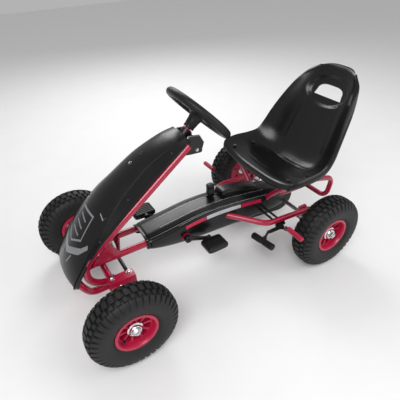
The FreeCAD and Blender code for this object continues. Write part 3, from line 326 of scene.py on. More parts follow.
def spline(table, at):
    """A row read smoothly between the rows of a table."""
    index = min(max(int(at), 0), len(table) - 2)
    share = at - index
    last = len(table) - 1
    near = [table[min(max(index + step, 0), last)] for step in (-1, 0, 1, 2)]
    row = []
    for p0, p1, p2, p3 in zip(*near):
        row.append(0.5 * (2 * p1 + (p2 - p0) * share + (2 * p0 - 5 * p1 + 4 * p2 - p3) * share ** 2
                          + (3 * p1 - p0 - 3 * p2 + p3) * share ** 3))
    return row


def step_up(low, high, value):
    """A smooth change from 0 at low to 1 at high."""
    share = min(1.0, max(0.0, (value - low) / (high - low)))
    return share * share * (3 - 2 * share)


def moulding(surface, u_values, v_values, thickness, inward):
    """A shell with rounded edges over surface(u, v).

    inward is +1 or -1 along the cross product of the two directions.
    """
    def normal(u, v):
        """The unit normal of the surface, by small differences."""
        small_u = (u_values[-1] - u_values[0]) * 0.002
        small_v = (v_values[-1] - v_values[0]) * 0.002
        along = surface(u + small_u, v) - surface(u - small_u, v)
        across = surface(u, v + small_v) - surface(u, v - small_v)
        return along.cross(across).normalized() * inward

    outer = [[surface(u, v) for v in v_values] for u in u_values]
    inner = [[p + normal(u, v) * thickness for p, v in zip(row, v_values)]
             for row, u in zip(outer, u_values)]
    rows, columns = len(u_values), len(v_values)
    flat = [p for row in outer for p in row] + [p for row in inner for p in row]
    faces = []
    shift = rows * columns
    for i in range(rows - 1):
        for j in range(columns - 1):
            quad = (i * columns + j, i * columns + j + 1, (i + 1) * columns + j + 1, (i + 1) * columns + j)
            faces.append(quad)
            faces.append(tuple(shift + k for k in reversed(quad)))
    border = [(0, j) for j in range(columns)] + [(i, columns - 1) for i in range(1, rows)]
    border += [(rows - 1, j) for j in range(columns - 2, -1, -1)]
    border += [(i, 0) for i in range(rows - 2, 0, -1)]
    middle = len(flat)
    for i, j in border:
        inside = outer[min(max(i, 1), rows - 2)][min(max(j, 1), columns - 2)]
        half_way = (outer[i][j] + inner[i][j]) / 2
        flat.append(half_way + (outer[i][j] - inside).normalized() * (thickness * 0.4))
    for k, (i, j) in enumerate(border):
        next_k = (k + 1) % len(border)
        ni, nj = border[next_k]
        faces.append((i * columns + j, ni * columns + nj, middle + next_k, middle + k))
        faces.append((middle + k, middle + next_k, shift + ni * columns + nj, shift + i * columns + j))
    return [mm(*p) for p in flat], faces


def sticker(surface, corners, lift, steps_u=12, steps_v=12):
    """A thin print on a surface, over a four-cornered patch of its (u, v)."""
    (u0, v0), (u1, v1), (u2, v2), (u3, v3) = corners

    def patch(s, t):
        """A point of the surface at the shares s along and t across the patch."""
        u = (u0 * (1 - s) + u1 * s) * (1 - t) + (u3 * (1 - s) + u2 * s) * t
        v = (v0 * (1 - s) + v1 * s) * (1 - t) + (v3 * (1 - s) + v2 * s) * t
        return u, v

    def raised(s, t):
        """The patch lifted just clear of the surface."""
        u, v = patch(s, t)
        along = surface(u + 0.01, v) - surface(u - 0.01, v)
        across = surface(u, v + 0.01) - surface(u, v - 0.01)
        return surface(u, v) + along.cross(across).normalized() * lift

    shares_u = [k / steps_u for k in range(steps_u + 1)]
    shares_v = [k / steps_v for k in range(steps_v + 1)]
    rows = [[mm(*raised(s, t)) for t in shares_v] for s in shares_u]
    width = len(shares_v)
    faces = [(i * width + j, i * width + j + 1, (i + 1) * width + j + 1, (i + 1) * width + j)
             for i in range(steps_u) for j in range(steps_v)]
    return [p for row in rows for p in row], faces


# ---------------------------------------------------------------- wheels

TYRE_R = (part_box("front_tyre_left")[1].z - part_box("front_tyre_left")[0].z) * 500
PITCHES = 40
# where a tread pitch is sampled, so that the walls of the blocks stand steep
PITCH_STEPS = (0.0, 0.14, 0.19, 0.27, 0.33, 0.5, 0.67, 0.73, 0.81, 0.86)
# half of the tyre's section, bead to crown: across, radius, the row of blocks, how high they stand
SECTION = (
    (19.0, 57.3, "", 0.0), (24.5, 57.3, "", 0.0), (28.0, 59.6, "", 0.0), (31.5, 62.6, "", 0.0),
    (34.0, 65.0, "", 0.0), (36.5, 68.0, "", 0.0), (38.2, 70.2, "", 0.0), (39.0, 71.2, "", 0.0),
    (39.6, 73.0, "", 0.0), (40.0, 74.6, "", 0.0), (40.9, 80.0, "", 0.0), (41.6, 86.0, "", 0.0),
    (41.9, 92.0, "", 0.0), (41.7, 97.0, "", 0.0), (41.3, 99.6, "", 0.0), (40.9, 100.4, "shoulder", 1.6),
    (39.6, 104.0, "shoulder", 2.6), (37.6, 108.0, "shoulder", 3.6), (34.6, 112.4, "shoulder", 4.4),
    (30.6, 116.4, "shoulder", 4.9), (28.2, 118.2, "shoulder", 5.1), (27.2, 118.9, "", 0.0),
    (24.8, 120.2, "", 0.0),
    (24.0, 120.6, "middle", 5.6), (19.0, 122.4, "middle", 6.0), (14.4, 123.4, "middle", 6.1),
    (13.4, 123.5, "", 0.0), (11.0, 123.7, "", 0.0), (10.2, 123.8, "centre", 6.0),
    (5.0, 124.0, "centre", 6.0), (0.8, 124.0, "centre", 6.0),
)


def block_on(row, share):
    """Whether a block stands at a share of the tread pitch; neighbouring rows are half a pitch apart."""
    first_half = 0.17 < share < 0.83
    other_half = share > 0.70 or share < 0.30
    return {"centre": first_half, "middle": other_half, "shoulder": first_half}.get(row, False)


def tyre(node, body):
    """A pneumatic tyre: sidewall rings and five rows of staggered tread blocks."""
    middle = centre(node)
    section = [(across, radius, row, height, -1) for across, radius, row, height in SECTION]
    section += [(across, radius, row, height, 1) for across, radius, row, height in reversed(SECTION)]
    section += [(10.0, 60.0, "", 0.0, 1), (10.0, 60.0, "", 0.0, -1)]
    rows = []
    for pitch in range(PITCHES):
        for share in PITCH_STEPS:
            angle = 2 * math.pi * (pitch + share - 0.5) / PITCHES
            out = Vector((math.sin(angle), 0, -math.cos(angle)))
            ring = []
            for across, radius, row, height, side in section:
                rise = height if block_on(row, share) else 0.0
                reach = min(radius + rise * (0.35 if across > 40 else 1.0), TYRE_R)
                spread = across + (rise * 0.25 if row == "shoulder" else 0.0)
                ring.append(middle + out * (reach / 1000) + Vector((0, side * min(spread, 42.0) / 1000, 0)))
            rows.append(ring)
    keep([rings(rows, closed_rows=True)], node + "_detail", RUBBER, body, [node], 28.0)


def rim(node, body, side):
    """A moulded rim: a rolled lip, a dished web with ten ribs and five openings."""
    middle = centre(node)
    ribs = 10
    rib_steps = (-0.5, -0.47, -0.38, -0.32, 0.0, 0.32, 0.38, 0.47)
    face_y = 14.0
    barrel = [(-34, 53.8), (-34.2, 58), (-33.6, 61.6), (-32.2, 62), (-31.2, 61), (-31, 58.5),
              (-27, 56.6), (-20, 54.4), (20, 54.4), (27, 56.6), (31, 58.5), (31.2, 61), (32.2, 62),
              (33.6, 61.6), (34.2, 58), (34, 53.8), (30, 51.6), (24, 50.6), (18, 50.2), (-18, 50.2),
              (-24, 50.6), (-30, 51.6)]
    parts = [turned([(side * along, radius) for along, radius in barrel], middle, (0, 1, 0), 96,
                    closed=True)]
    radii = (16.8, 20.0, 22.0, 23.0, 25.2, 28.0, 33.5, 39.0, 43.0, 45.4, 46.6, 48.5, 50.6)
    points = []
    faces = []
    count = ribs * len(rib_steps)
    hole = set()
    for layer in (0, 1):
        for radius in radii:
            for rib in range(ribs):
                for share in rib_steps:
                    angle = 2 * math.pi * (rib + share) / ribs
                    in_pocket = 24 < radius < 46 and abs(share) < 0.35
                    lip = 1.6 if radius in (22.0, 23.0) else 0.0
                    rise = (-24.0 if in_pocket else lip) if layer == 0 else -27.0
                    crown = 2.5 * step_up(30, 50, radius) if layer == 0 else 0.0
                    y = side * (face_y + rise + crown)
                    spot = Vector((math.sin(angle) * radius, y, math.cos(angle) * radius))
                    points.append(middle + spot / 1000)
    for i in range(len(radii) - 1):
        for j in range(count):
            rib, step = divmod(j, len(rib_steps))
            opening = rib % 2 == 0 and 2 <= step <= 5 and 5 <= i <= 7
            following = (j + 1) % count
            for layer in (0, 1):
                base = layer * len(radii) * count
                quad = (base + i * count + j, base + i * count + following,
                        base + (i + 1) * count + following, base + (i + 1) * count + j)
                if opening:
                    hole.update(((i, j), ))
                    continue
                faces.append(quad if layer == 0 else tuple(reversed(quad)))
    back = len(radii) * count
    for i, j in sorted(hole):
        corners = [(i, j), (i, (j + 1) % count), (i + 1, (j + 1) % count), (i + 1, j)]
        beside = [(i - 1, j), (i, (j + 1) % count), (i + 1, j), (i, (j - 1) % count)]
        for k in range(4):
            if beside[k] in hole:
                continue
            (ai, aj), (bi, bj) = corners[k], corners[(k + 1) % 4]
            faces.append((ai * count + aj, bi * count + bj, back + bi * count + bj, back + ai * count + aj))
    parts.append((points, faces))
    stem = middle + Vector((0, side * 0.004, 0)) + Vector((math.sin(2.2), 0, math.cos(2.2))) * 0.0435
    keep(parts, node + "_detail", RIM_RED, body, [node])
    valve = [turned([(0, 1.0), (0, 4.2), (3, 4.0), (6, 2.9), (17, 2.7), (17.4, 3.3), (23, 3.3),
                     (24, 2.4), (24, 0.4)], stem, (0, side, 0), 20)]
    keep(valve, node + "_valve", NYLON, body)


def hub(node, body, side):
    """A plated hub with a bolted flange and a ball race seal at its outer end."""
    middle = centre(node)
    outer = 26.0
    flange = 16.0
    barrel = [(-outer, 9.0), (-outer, 15.5), (-outer + 1.2, 17), (flange, 17), (flange + 0.4, 22.4),
              (flange + 1.2, 23), (flange + 2.6, 22.4), (flange + 3.4, 20.4), (flange + 4.6, 18.2),
              (outer - 1.5, 17), (outer, 16), (outer, 14), (outer - 1.0, 13.4), (outer - 1.0, 9.0)]
    profile = [(side * along, radius) for along, radius in barrel]
    parts = [turned(profile, middle, (0, 1, 0), 72)]
    for k in range(4):
        angle = math.pi / 4 + k * math.pi / 2
        out = Vector((math.sin(angle) * 20.6, side * (flange + 2.6), math.cos(angle) * 20.6))
        parts.append(turned([(0, 0.5), (0, 2.4), (1.2, 2.2), (1.9, 1.2), (2.0, 0.1)], middle + out / 1000,
                            (0, side, 0), 14))
    keep(parts, node + "_detail", CHROME, body, [node])
    seal = turned([(side * (outer - 1.6), 9.0), (side * (outer - 1.2), 9.2), (side * (outer - 0.7), 11.0),
                   (side * (outer - 0.9), 13.2), (side * (outer - 2.0), 13.4)], middle, (0, 1, 0), 48)
    keep([seal], node + "_seal", NYLON, body)


def shaft_end(x, y, side, radius, hexagon):
    """A nut with a washer on the threaded end of a shaft, 12 mm beyond the hub."""
    nut = turned([(0.2, radius), (0.2, hexagon * 1.18), (1.6, hexagon * 1.18), (1.7, hexagon * 0.94),
                  (2.4, hexagon), (7.6, hexagon), (8.6, hexagon * 0.9), (8.6, radius)],
                 mm(x, y, WHEEL_Z), (0, side, 0), 6)
    washer = turned([(0.1, radius), (0.1, hexagon * 1.28), (1.5, hexagon * 1.28), (1.6, radius)],
                    mm(x, y, WHEEL_Z), (0, side, 0), 40)
    thread = [(-1.0, radius - 0.2)]
    for k in range(10):
        thread.append((8.0 + 0.3 * k, radius - 0.45 * (k % 2)))
    thread += [(11.2, radius - 0.6), (11.8, radius - 1.6), (12.0, 0.3)]
    return [nut, washer, turned(thread, mm(x, y, WHEEL_Z), (0, side, 0), 32)]


def axles():
    """The front stub axles and the live rear axle, with their shoulders, collars and nuts."""
    for where, sign in SIDES.items():
        stub = [turned([(0, 5.8), (0.2, 12.0), (3.0, 12.4), (4.0, 10.6), (5.0, 10.0), (104.6, 10.0),
                        (105.6, 9.2), (105.9, 6.0), (159, 5.9), (159.2, 5.7)],
                       mm(HALF_BASE, sign * 120, WHEEL_Z), (0, sign, 0), 44)]
        stub += shaft_end(HALF_BASE, sign * 278.6, sign, 5.8, 9.6)
        keep(stub, "stub_axle_%s_detail" % where, PLATED, where + "_knuckle",
             ["stub_axle_" + where])
    live = [turned([(-279, 7.9), (279, 7.9)], mm(-HALF_BASE, 0, WHEEL_Z), (0, 1, 0), 40)]
    for sign in SIDES.values():
        live += shaft_end(-HALF_BASE, sign * 278.6, sign, 7.8, 11.4)
        for start, stop, radius in ((142.2, 150.3, 10.0), (3.2, 11.8, 13.0)):
            live.append(turned([(start, 7.8), (start, radius - 0.8), (start + 0.8, radius),
                                (stop - 0.8, radius), (stop, radius - 0.8), (stop, 7.8)],
                               mm(-HALF_BASE, 0, WHEEL_Z), (0, sign, 0), 40))
    keep(live, "rear_axle_detail", PLATED, "rear_axle", ["rear_axle"])


for where, sign in SIDES.items():
    for end in ("front", "rear"):
        wheel_body = "front_wheel_" + where if end == "front" else "rear_axle"
        tyre("%s_tyre_%s" % (end, where), wheel_body)
        rim("%s_rim_%s" % (end, where), wheel_body, sign)
        hub("%s_hub_%s" % (end, where), wheel_body, sign)
axles()


# ---------------------------------------------------------------- frame tubes

def both(points):
    """A half route from the left, carried on to the right as its mirror image."""
    return list(points) + [(x, -y, z) for x, y, z in reversed(points)]


def flipped(points):
    """The route on the other side of the kart."""
    return [(x, -y, z) for x, y, z in points]


FRAME_R = 11.0
SIDE_R = 10.0
SEAT_R = 9.0
RAIL = [(376, 42, 189), (90, 42, 189), (-440, 42, 170)]
NOSE = [(50, 48, 482), (413, 82, 236), (413, 72, 125), (334, 64, 125)]
BUMPER = both([(322, 64, 104), (410, 64, 104), (446, 76, 172)])
SIDE_TUBE = [(-78, 46, 183), (-186, 145, 161), (-376, 150, 150)]
HOOP = both([(-346, 148, 284), (-474, 148, 250), (-456, 148, 172)])
LEG = [(-256, 147, 287), (-258, 132, 275), (-261, 46, 185)]


def frame_tubes():
    """Every bent tube of the frame, with its plugs and weld beads."""
    rails = tube(RAIL, FRAME_R, 200.0) + tube(flipped(RAIL), FRAME_R, 200.0)
    keep(rails, "main_rails_detail", PAINT, "frame", ["main_rails"])
    for where, sign in SIDES.items():
        turn = (lambda route: route) if sign > 0 else flipped
        keep(tube(turn(NOSE), FRAME_R, 70.0), "nose_tube_%s_detail" % where, PAINT, "frame",
             ["nose_tube_" + where])
        keep(tube(turn(SIDE_TUBE), SIDE_R, 62.0), "side_tube_%s_detail" % where, PAINT, "frame",
             ["side_tube_" + where])
    keep(tube(BUMPER, FRAME_R, 38.0), "front_bumper_detail", PAINT, "frame",
         ["front_bumper"])
    hoop = tube(HOOP, SEAT_R, 30.0)
    legs = tube(LEG, SEAT_R, 12.0) + tube(flipped(LEG), SEAT_R, 12.0)
    for sign in SIDES.values():
        hoop.append(turned([(-2, 4), (-2, 12.4), (-1.4, 13), (4.4, 13), (5, 12.4), (5, 4)],
                           mm(-346, sign * 148, 284), (0, 0, 1), 36))
        legs.append(turned([(0, 4), (0, 16.4), (0.5, 17), (2.5, 17), (3, 16.4), (3, 4)],
                           mm(-256, sign * 148, 288), (0, 0, 1), 36))
    keep(hoop, "seat_rear_hoop_detail", PAINT, "frame", ["seat_rear_hoop"])
    keep(legs, "seat_front_legs_detail", PAINT, "frame", ["seat_front_legs"])
    beads = []
    for sign in SIDES.values():
        beads.append(weld((-84, sign * 52, 181), (-0.7, sign * 0.68, -0.14), SIDE_R + 0.4))
        beads.append(weld((-261, sign * 50, 189), (0.02, sign * 0.68, 0.73), SEAT_R + 0.4))
        beads.append(weld((337, sign * 64, 125), (1, 0, 0), FRAME_R + 0.2))
        beads.append(weld((330, sign * 64, 104), (1, 0, 0), FRAME_R + 0.2))
        beads.append(weld((352, sign * 87, 143), (0, 1, 0), FRAME_R + 0.2))
    keep(beads, "weld_beads", PAINT, "frame")
    for k, sign in enumerate(SIDES.values()):
        parts = []
        for x, z in ((-256, 310.5), (-346, 299.0)):
            parts.extend(bolt(mm(x, sign * 148, z), (0, 0, 1), 4.6, 2.0, 24))
        keep(parts, "seat_bolt_heads_%d" % k, BLACK_ZINC, "frame")


frame_tubes()


# ---------------------------------------------------------------- seat

# edge x, edge z, half width at the edge, middle x, middle z, share of the full edge roll
SEAT_LEVELS = (
    (-226, 305, 178, -228, 276, 0.35), (-240, 326, 188, -240, 292, 0.8), (-290, 331, 192, -292, 286, 1.0),
    (-345, 330, 188, -350, 271, 1.0), (-386, 338, 180, -404, 270, 1.0), (-412, 366, 175, -446, 300, 1.0),
    (-434, 404, 167, -474, 350, 1.0), (-460, 446, 156, -500, 410, 1.0), (-487, 486, 143, -530, 474, 1.0),
    (-513, 520, 129, -556, 520, 0.9), (-540, 546, 112, -576, 556, 0.7), (-562, 567, 88, -590, 580, 0.4),
    (-578, 576, 74, -604, 585, 0.15), (-590, 566, 68, -612, 574, 0.1),
)


def seat_point(level, across):
    """A point of the seat's upper surface; across runs from -1 to 1 at the edges and on over the roll."""
    ex, ez, half, mx, mz, roll = spline(SEAT_LEVELS, level)
    inside = min(abs(across), 1.0)
    dish = inside ** 3.2
    x = mx + (ex - mx) * dish
    z = mz + (ez - mz) * dish
    y = half * inside
    beyond = max(0.0, abs(across) - 1.0) / 0.14
    if beyond:
        away = Vector((mx - ex, 0, mz - ez)).normalized() * (22 * roll * beyond)
        x += away.x
        z += away.z
        y += 8 * roll * (1 - (1 - beyond) ** 2)
    back = step_up(4.0, 6.5, level)
    lean = Vector((-0.87 * back, 0, -1 + 0.51 * back)).normalized()
    bowl = math.hypot(y / 92, (z - 505) / 50)
    sink = 9.0 * (1 - step_up(0.78, 1.02, bowl)) if level > 6 else 0.0
    rib = 0.0
    if 1.6 < level < 4.2 and abs(across) < 0.62:
        wave = math.sin((level - 1.6 - 0.25 * abs(across)) * math.pi * 5.0)
        rib = 1.1 * step_up(0.35, 0.8, wave) * (1 - step_up(0.5, 0.6, abs(across)))
    centre_rib = 1.0 * (1 - step_up(0.02, 0.045, abs(abs(across) - 0.5))) if 5.2 < level < 8.0 else 0.0
    pushed = lean * (sink + rib + centre_rib)
    return Vector((x + pushed.x, y if across >= 0 else -y, z + pushed.z))


def seat():
    """The bucket seat with a rolled edge, pressed ribs and a hand hole in a bowl."""
    levels = [k * 13 / 150 for k in range(151)]
    across = [-1.14 + 2.28 * k / 150 for k in range(151)]
    shell = keep([moulding(seat_point, levels, across, 5.0, 1)], "seat_shell_detail", SEAT, "frame",
                 ["seat_shell"], 50.0)
    outline = [(-62, -3), (62, -3)]
    for k in range(1, 32):
        flat, high = squarish(math.pi * k / 32, 0.62, 0.62)
        outline.append((58 * flat, 4 + 36 * high))
    rows = []
    for depth in (-60, 60):
        rows.append([mm(-544 + 0.87 * depth - 0.5 * up, y, 487 + 0.5 * depth + 0.87 * up)
                     for y, up in outline])
    cut_away(shell, [rings(rows, cap_ends=True)], 50.0)


seat()


# ---------------------------------------------------------------- nose and cover

# crease x, y, z, lower edge x, y, z, height of the crown
NOSE_STATIONS = (
    (52, 42, 509, 44, 50, 494, 5), (100, 46, 497, 86, 57, 472, 7), (180, 50, 463, 158, 64, 428, 11),
    (260, 60, 407, 240, 74, 372, 16), (300, 71, 374, 281, 80, 344, 19), (340, 80, 333, 325, 86, 311, 22),
    (380, 87, 285, 372, 91, 274, 24), (415, 89, 236, 410, 92, 230, 22), (438, 88, 202, 433, 90, 196, 18),
    (454, 84, 174, 449, 86, 168, 12), (455, 78, 158, 446, 78, 152, 6),
)


def nose_point(station, across):
    """A point of the nose's outer surface: the crown within 1 of the middle, the side panel beyond."""
    cx, cy, cz, lx, ly, lz, crown = spline(NOSE_STATIONS, station)
    before = spline(NOSE_STATIONS, max(station - 0.4, 0))
    after = spline(NOSE_STATIONS, min(station + 0.4, len(NOSE_STATIONS) - 1.001))
    run = Vector((after[0] - before[0], 0, after[2] - before[2])).normalized()
    up = Vector((-run.z, 0, run.x))
    inside = min(abs(across), 1.0)
    sign = 1 if across >= 0 else -1
    rise = crown * (1 - inside ** 2)
    point = Vector((cx, 0, cz)) + up * rise
    point.y = cy * inside
    if abs(across) > 1:
        share = (abs(across) - 1) / 0.4
        step = 1.4 * step_up(0.02, 0.10, share) * (1 - step_up(0.86, 1.0, share))
        point = Vector((cx + (lx - cx) * share, cy + (ly - cy) * share - step, cz + (lz - cz) * share))
    point.y *= -sign
    return point


def nose():
    """The nose moulding, its prints, badge, slot and screws."""
    last = len(NOSE_STATIONS) - 1
    stations = [last * k / 110 for k in range(111)]
    half = [0.0, 0.12, 0.24, 0.36, 0.48, 0.6, 0.7, 0.79, 0.87, 0.93, 0.97, 0.99, 1.0, 1.008, 1.02,
            1.04, 1.07, 1.12, 1.2, 1.28, 1.34, 1.37, 1.385, 1.4]
    across = [-value for value in reversed(half[1:])] + half
    keep([moulding(nose_point, stations, across, 4.0, 1)], "nose_fairing_detail", BODY,
         "frame", ["nose_fairing"], 30.0)
    # the corners of each print on one side: station, share of the half width
    prints = (
        ((7.30, 0.0), (6.88, 0.0), (6.40, 0.62), (6.75, 0.62)),
        ((6.75, 0.62), (6.40, 0.62), (6.05, 0.80), (6.22, 0.86)),
        ((6.56, 0.0), (6.46, 0.0), (6.10, 0.46), (6.17, 0.50)),
        ((6.17, 0.50), (6.10, 0.46), (5.00, 0.42), (4.98, 0.47)),
        ((5.00, 0.47), (4.90, 0.47), (4.90, 0.0), (5.00, 0.0)),
        ((7.16, 0.34), (7.10, 0.30), (7.85, 0.16), (7.90, 0.20)),
        ((4.62, 0.62), (4.54, 0.62), (4.70, 0.86), (4.78, 0.86)),
    )
    lift = -0.35
    silver = [sticker(nose_point, [(station, sign * share) for station, share in corners], lift)
              for sign in SIDES.values() for corners in prints]
    for start in (5.2, 5.55, 5.9):
        corners = [(start + 0.22, -0.26), (start + 0.14, -0.26), (start - 0.02, 0.26),
                   (start + 0.06, 0.26)]
        silver.append(sticker(nose_point, corners, lift))
    keep(silver, "nose_prints", SILVER, "frame")
    badge_face = nose_point(1.92, 0.0)
    normal = Vector((0.5, 0, 0.86)).normalized()
    badge = [turned([(-1, 1), (-1, 8.0), (1.2, 7.8), (1.9, 7.0), (1.2, 6.4), (1.0, 5), (1.5, 3),
                     (1.6, 0.3)], mm(*badge_face), normal, 40)]
    keep(badge, "nose_badge", BLACK_ZINC, "frame")
    slot_face = nose_point(2.3, 0.0)
    slot = [turned([(-1, 0.5), (-1, 5.2), (0.7, 5.0), (1.0, 4.3), (0.2, 3.6), (-0.6, 3.0), (-0.8, 0.3)],
                   mm(*slot_face), normal, 32)]
    keep(slot, "nose_socket", PLATED, "frame")
    screws = []
    for station, side in ((1.2, 1.2), (3.1, 1.2), (5.6, 1.2), (4.6, 0.9)):
        for sign in SIDES.values():
            place = nose_point(station, sign * side)
            out = Vector((0.35, math.copysign(0.9, place.y), 0.45)).normalized()
            screws.append(turned([(-0.8, 0.3), (-0.8, 2.6), (0.5, 2.6), (1.1, 1.9), (1.2, 1.0),
                                  (0.6, 0.8), (0.6, 0.1)], mm(*place), out, 16))
    keep(screws, "nose_screws", BLACK_ZINC, "frame")


nose()

COVER = (
    # x, top z, lower edge z, half width
    (214, 207, 170, 58), (190, 210, 160, 60), (150, 215, 148, 61), (95, 222, 137, 61),
    (30, 230, 130, 61), (-50, 231, 125, 60), (-140, 223, 120, 59), (-230, 209, 117, 57),
    (-310, 196, 117, 54), (-345, 188, 120, 50),
)
# share of the half width, drop below the top, share of the side's height, from the middle outwards
COVER_PROFILE = (
    (0.0, 0.0, 0.0), (0.20, 0.2, 0.0), (0.36, 0.6, 0.0), (0.48, 1.4, 0.0), (0.60, 3.0, 0.0),
    (0.74, 4.6, 0.0),
    (0.85, 6.5, 0.0), (0.93, 10.0, 0.0), (0.97, 14.0, 0.0), (0.99, 20.0, 0.0), (1.0, 26.0, 0.0),
    (0.985, 26.0, 0.30), (0.94, 26.0, 0.60), (0.86, 26.0, 0.86), (0.72, 26.0, 1.0),
)


def cover_point(station, across):
    """A point of the chain cover; across runs over the profile, from the middle at 0 outwards."""
    x, top, low, half = spline(COVER, station)
    share, drop, down = spline(COVER_PROFILE, abs(across))
    z = top - drop - (top - 26 - low) * down
    groove = 1.1 * (1 - step_up(0.12, 0.30, abs(abs(across) - 5.0)))
    lip = 1.2 * (1 - step_up(0.05, 0.22, station)) - 1.0 * (1 - step_up(0.05, 0.2, abs(station - 0.45)))
    y = half * share + lip * step_up(2.0, 7.0, abs(across))
    return Vector((x, -y if across >= 0 else y, z - groove + lip * (1 - step_up(3, 8, abs(across)))))


def cover():
    """The chain cover with its lines, side strips and the wedge behind the hand lever."""
    stations = [9 * k / 150 for k in range(151)]
    last = len(COVER_PROFILE) - 1
    across = [-last + 2 * last * k / 140 for k in range(141)]
    shell = keep([moulding(cover_point, stations, across, 3.5, -1)], "chain_cover_detail", BODY,
                 "frame", ["chain_cover"], 40.0)
    # the lever's slot, then the holes that tubes, bars and the crank pass through
    cutters = [rings([[mm(-64 + 22 * math.cos(a), -20 + 8.5 * math.sin(a), z) for a in turns(40)]
                      for z in (200, 260)], cap_ends=True)]
    for sign in SIDES.values():
        for start, stop, radius in (((-60, 28, 188), (-170, 132, 164), SIDE_R + 1.5),
                                    ((-261, 46, 186), (-258, 100, 242), SEAT_R + 1.5),
                                    ((-235, 30, 141), (-235, 80, 141), 6.0),
                                    ((-255, 30, 141), (-255, 80, 141), 6.0),
                                    ((80, 40, 166), (80, 80, 166), 16.5)):
            a = mm(start[0], sign * start[1], start[2])
            b = mm(stop[0], sign * stop[1], stop[2])
            span = (b - a).length * 1000
            cutters.append(turned([(0, radius), (span, radius)], a, b - a, 36))
    cut_away(shell, cutters, 40.0, crossing=True)
    lines = []
    for side, start, stop in ((2.1, 1.9, 7.4), (6.0, 2.9, 8.6)):
        for sign in SIDES.values():
            corners = [(start, -sign * side), (stop, -sign * side), (stop, -sign * (side + 0.13)),
                       (start, -sign * (side + 0.13))]
            lines.append(sticker(cover_point, corners, 0.35, 90, 3))
    keep(lines, "cover_lines", LINE, "frame")
    for name, surface, start, stop in (("front", PRINT_RED, 3.25, 4.35), ("label", LINE, 4.38, 5.98),
                                       ("rear", PRINT_RED, 6.02, 7.0)):
        strips = [sticker(cover_point, [(start, -sign * 8.1), (stop, -sign * 8.1), (stop, -sign * 10.1),
                                        (start, -sign * 10.1)], 0.4, 40, 8) for sign in SIDES.values()]
        keep(strips, "cover_strip_" + name, surface, "frame")
    wedge = []
    for x, top, half in ((-94, 232, 20), (-94, 244, 24), (-97, 247, 26), (-108, 249, 27.5),
                         (-150, 240.4, 28), (-200, 228.8, 28), (-240, 219.2, 27.5), (-247, 216, 25),
                         (-248, 206, 20)):
        base = 214 - (abs(x) - 94) * 0.07
        middle = (top + base) / 2
        section = [squarish(angle, 0.35, 0.5) for angle in turns(40)]
        wedge.append([mm(x, -14 + half * flat, middle + (top - base) / 2 * high)
                      for flat, high in section])
    keep([rings(wedge, cap_ends=True)], "lever_housing_detail", BODY, "frame",
         ["lever_housing"])


cover()


# ---------------------------------------------------------------- steering

TILT = math.radians(43.8)
COLUMN_UP = Vector((-math.cos(TILT), 0, math.sin(TILT)))
COLUMN_TOP = Vector((26, 0, 511))


def on_column(above):
    """A point of the column's axis, above its top end at the steering head."""
    return COLUMN_TOP + COLUMN_UP * above


def wheel_space(x, y, z):
    """A point given in the steering wheel's own plane, about its centre."""
    forward = Vector((math.sin(TILT), 0, math.cos(TILT)))
    point = on_column(56) + forward * x + Vector((0, y, 0)) + COLUMN_UP * z
    return mm(*point)


def steering_wheel():
    """A thick rim with finger waves, three flared spokes, a capped hub and a tapered neck."""
    ring_rows = []
    steps = 180
    for angle in turns(steps):
        wave = 0.9 * math.sin(angle * 36) * step_up(-0.3, 0.3, abs(math.sin(angle)) - 0.55)
        row = []
        for around in turns(36):
            inner = max(0.0, -math.cos(around))
            seam = 0.5 * (1 - step_up(0.02, 0.12, abs(math.sin(around)))) if math.cos(around) > 0 else 0.0
            reach = 12.6 + wave * inner + seam
            out = 101 + reach * math.cos(around)
            row.append(wheel_space(out * math.cos(angle), out * math.sin(angle),
                                   0.96 * reach * math.sin(around)))
        ring_rows.append(row)
    parts = [rings(ring_rows, closed_rows=True)]
    for turn in (90, 210, 330):
        direction = math.radians(turn)
        rows = []
        for k in range(25):
            share = k / 24
            out = 20 + 74 * share
            flare = 11.5 + 7.0 * (2 * share - 1) ** 2 + 6.0 * step_up(0.8, 1.0, share)
            thick = 6.2 - 1.6 * math.sin(math.pi * share)
            drop = 2.5 * math.sin(math.pi * share)
            row = []
            for angle in turns(28):
                flat, high = squarish(angle, 0.6, 0.7)
                side = flare * flat
                on_top = high > 0 and 0.15 < share < 0.8
                groove = 1.2 * (1 - step_up(2.5, 5.0, abs(side))) if on_top else 0.0
                row.append(wheel_space(out * math.cos(direction) - side * math.sin(direction),
                                       out * math.sin(direction) + side * math.cos(direction),
                                       thick * high - drop - groove))
            rows.append(row)
        parts.append(rings(rows, cap_ends=True))
    axis = COLUMN_UP
    parts.append(turned([(-10, 6), (-10, 24), (-8, 28.5), (-4, 30), (4, 30), (8, 29), (10.5, 26.5),
                         (11, 24.4), (9.6, 23.6), (9.8, 22.6), (12.4, 21.6), (13, 18), (13.4, 10),
                         (13.5, 0.5)], wheel_space(0, 0, 0), axis, 72))
    parts.append(turned([(-52, 9), (-52, 15.4), (-51, 16.6), (-46, 17), (-44, 16), (-42, 17),
                         (-26, 18.5), (-16, 21), (-9, 25), (-8, 8)], wheel_space(0, 0, 0), axis, 56))
    keep(parts, "steering_wheel_detail", GRIP, "steering", ["steering_wheel"], 40.0)
    ring = [turned([(0.2, 8.2), (0.2, 13.4), (0.8, 14.2), (3.0, 14.2), (3.4, 13.4), (3.4, 8.2)],
                   mm(*on_column(-1.0)), axis, 48)]
    keep(ring, "column_ring", SLEEVE_RED, "steering")
    cap = [turned([(11.5, 1), (12.6, 20.6), (13.4, 20.0), (14.0, 17), (14.6, 9), (14.7, 0.5)],
                  wheel_space(0, 0, 0), axis, 56)]
    keep(cap, "steering_wheel_cap", BLACK_PAINT, "steering")


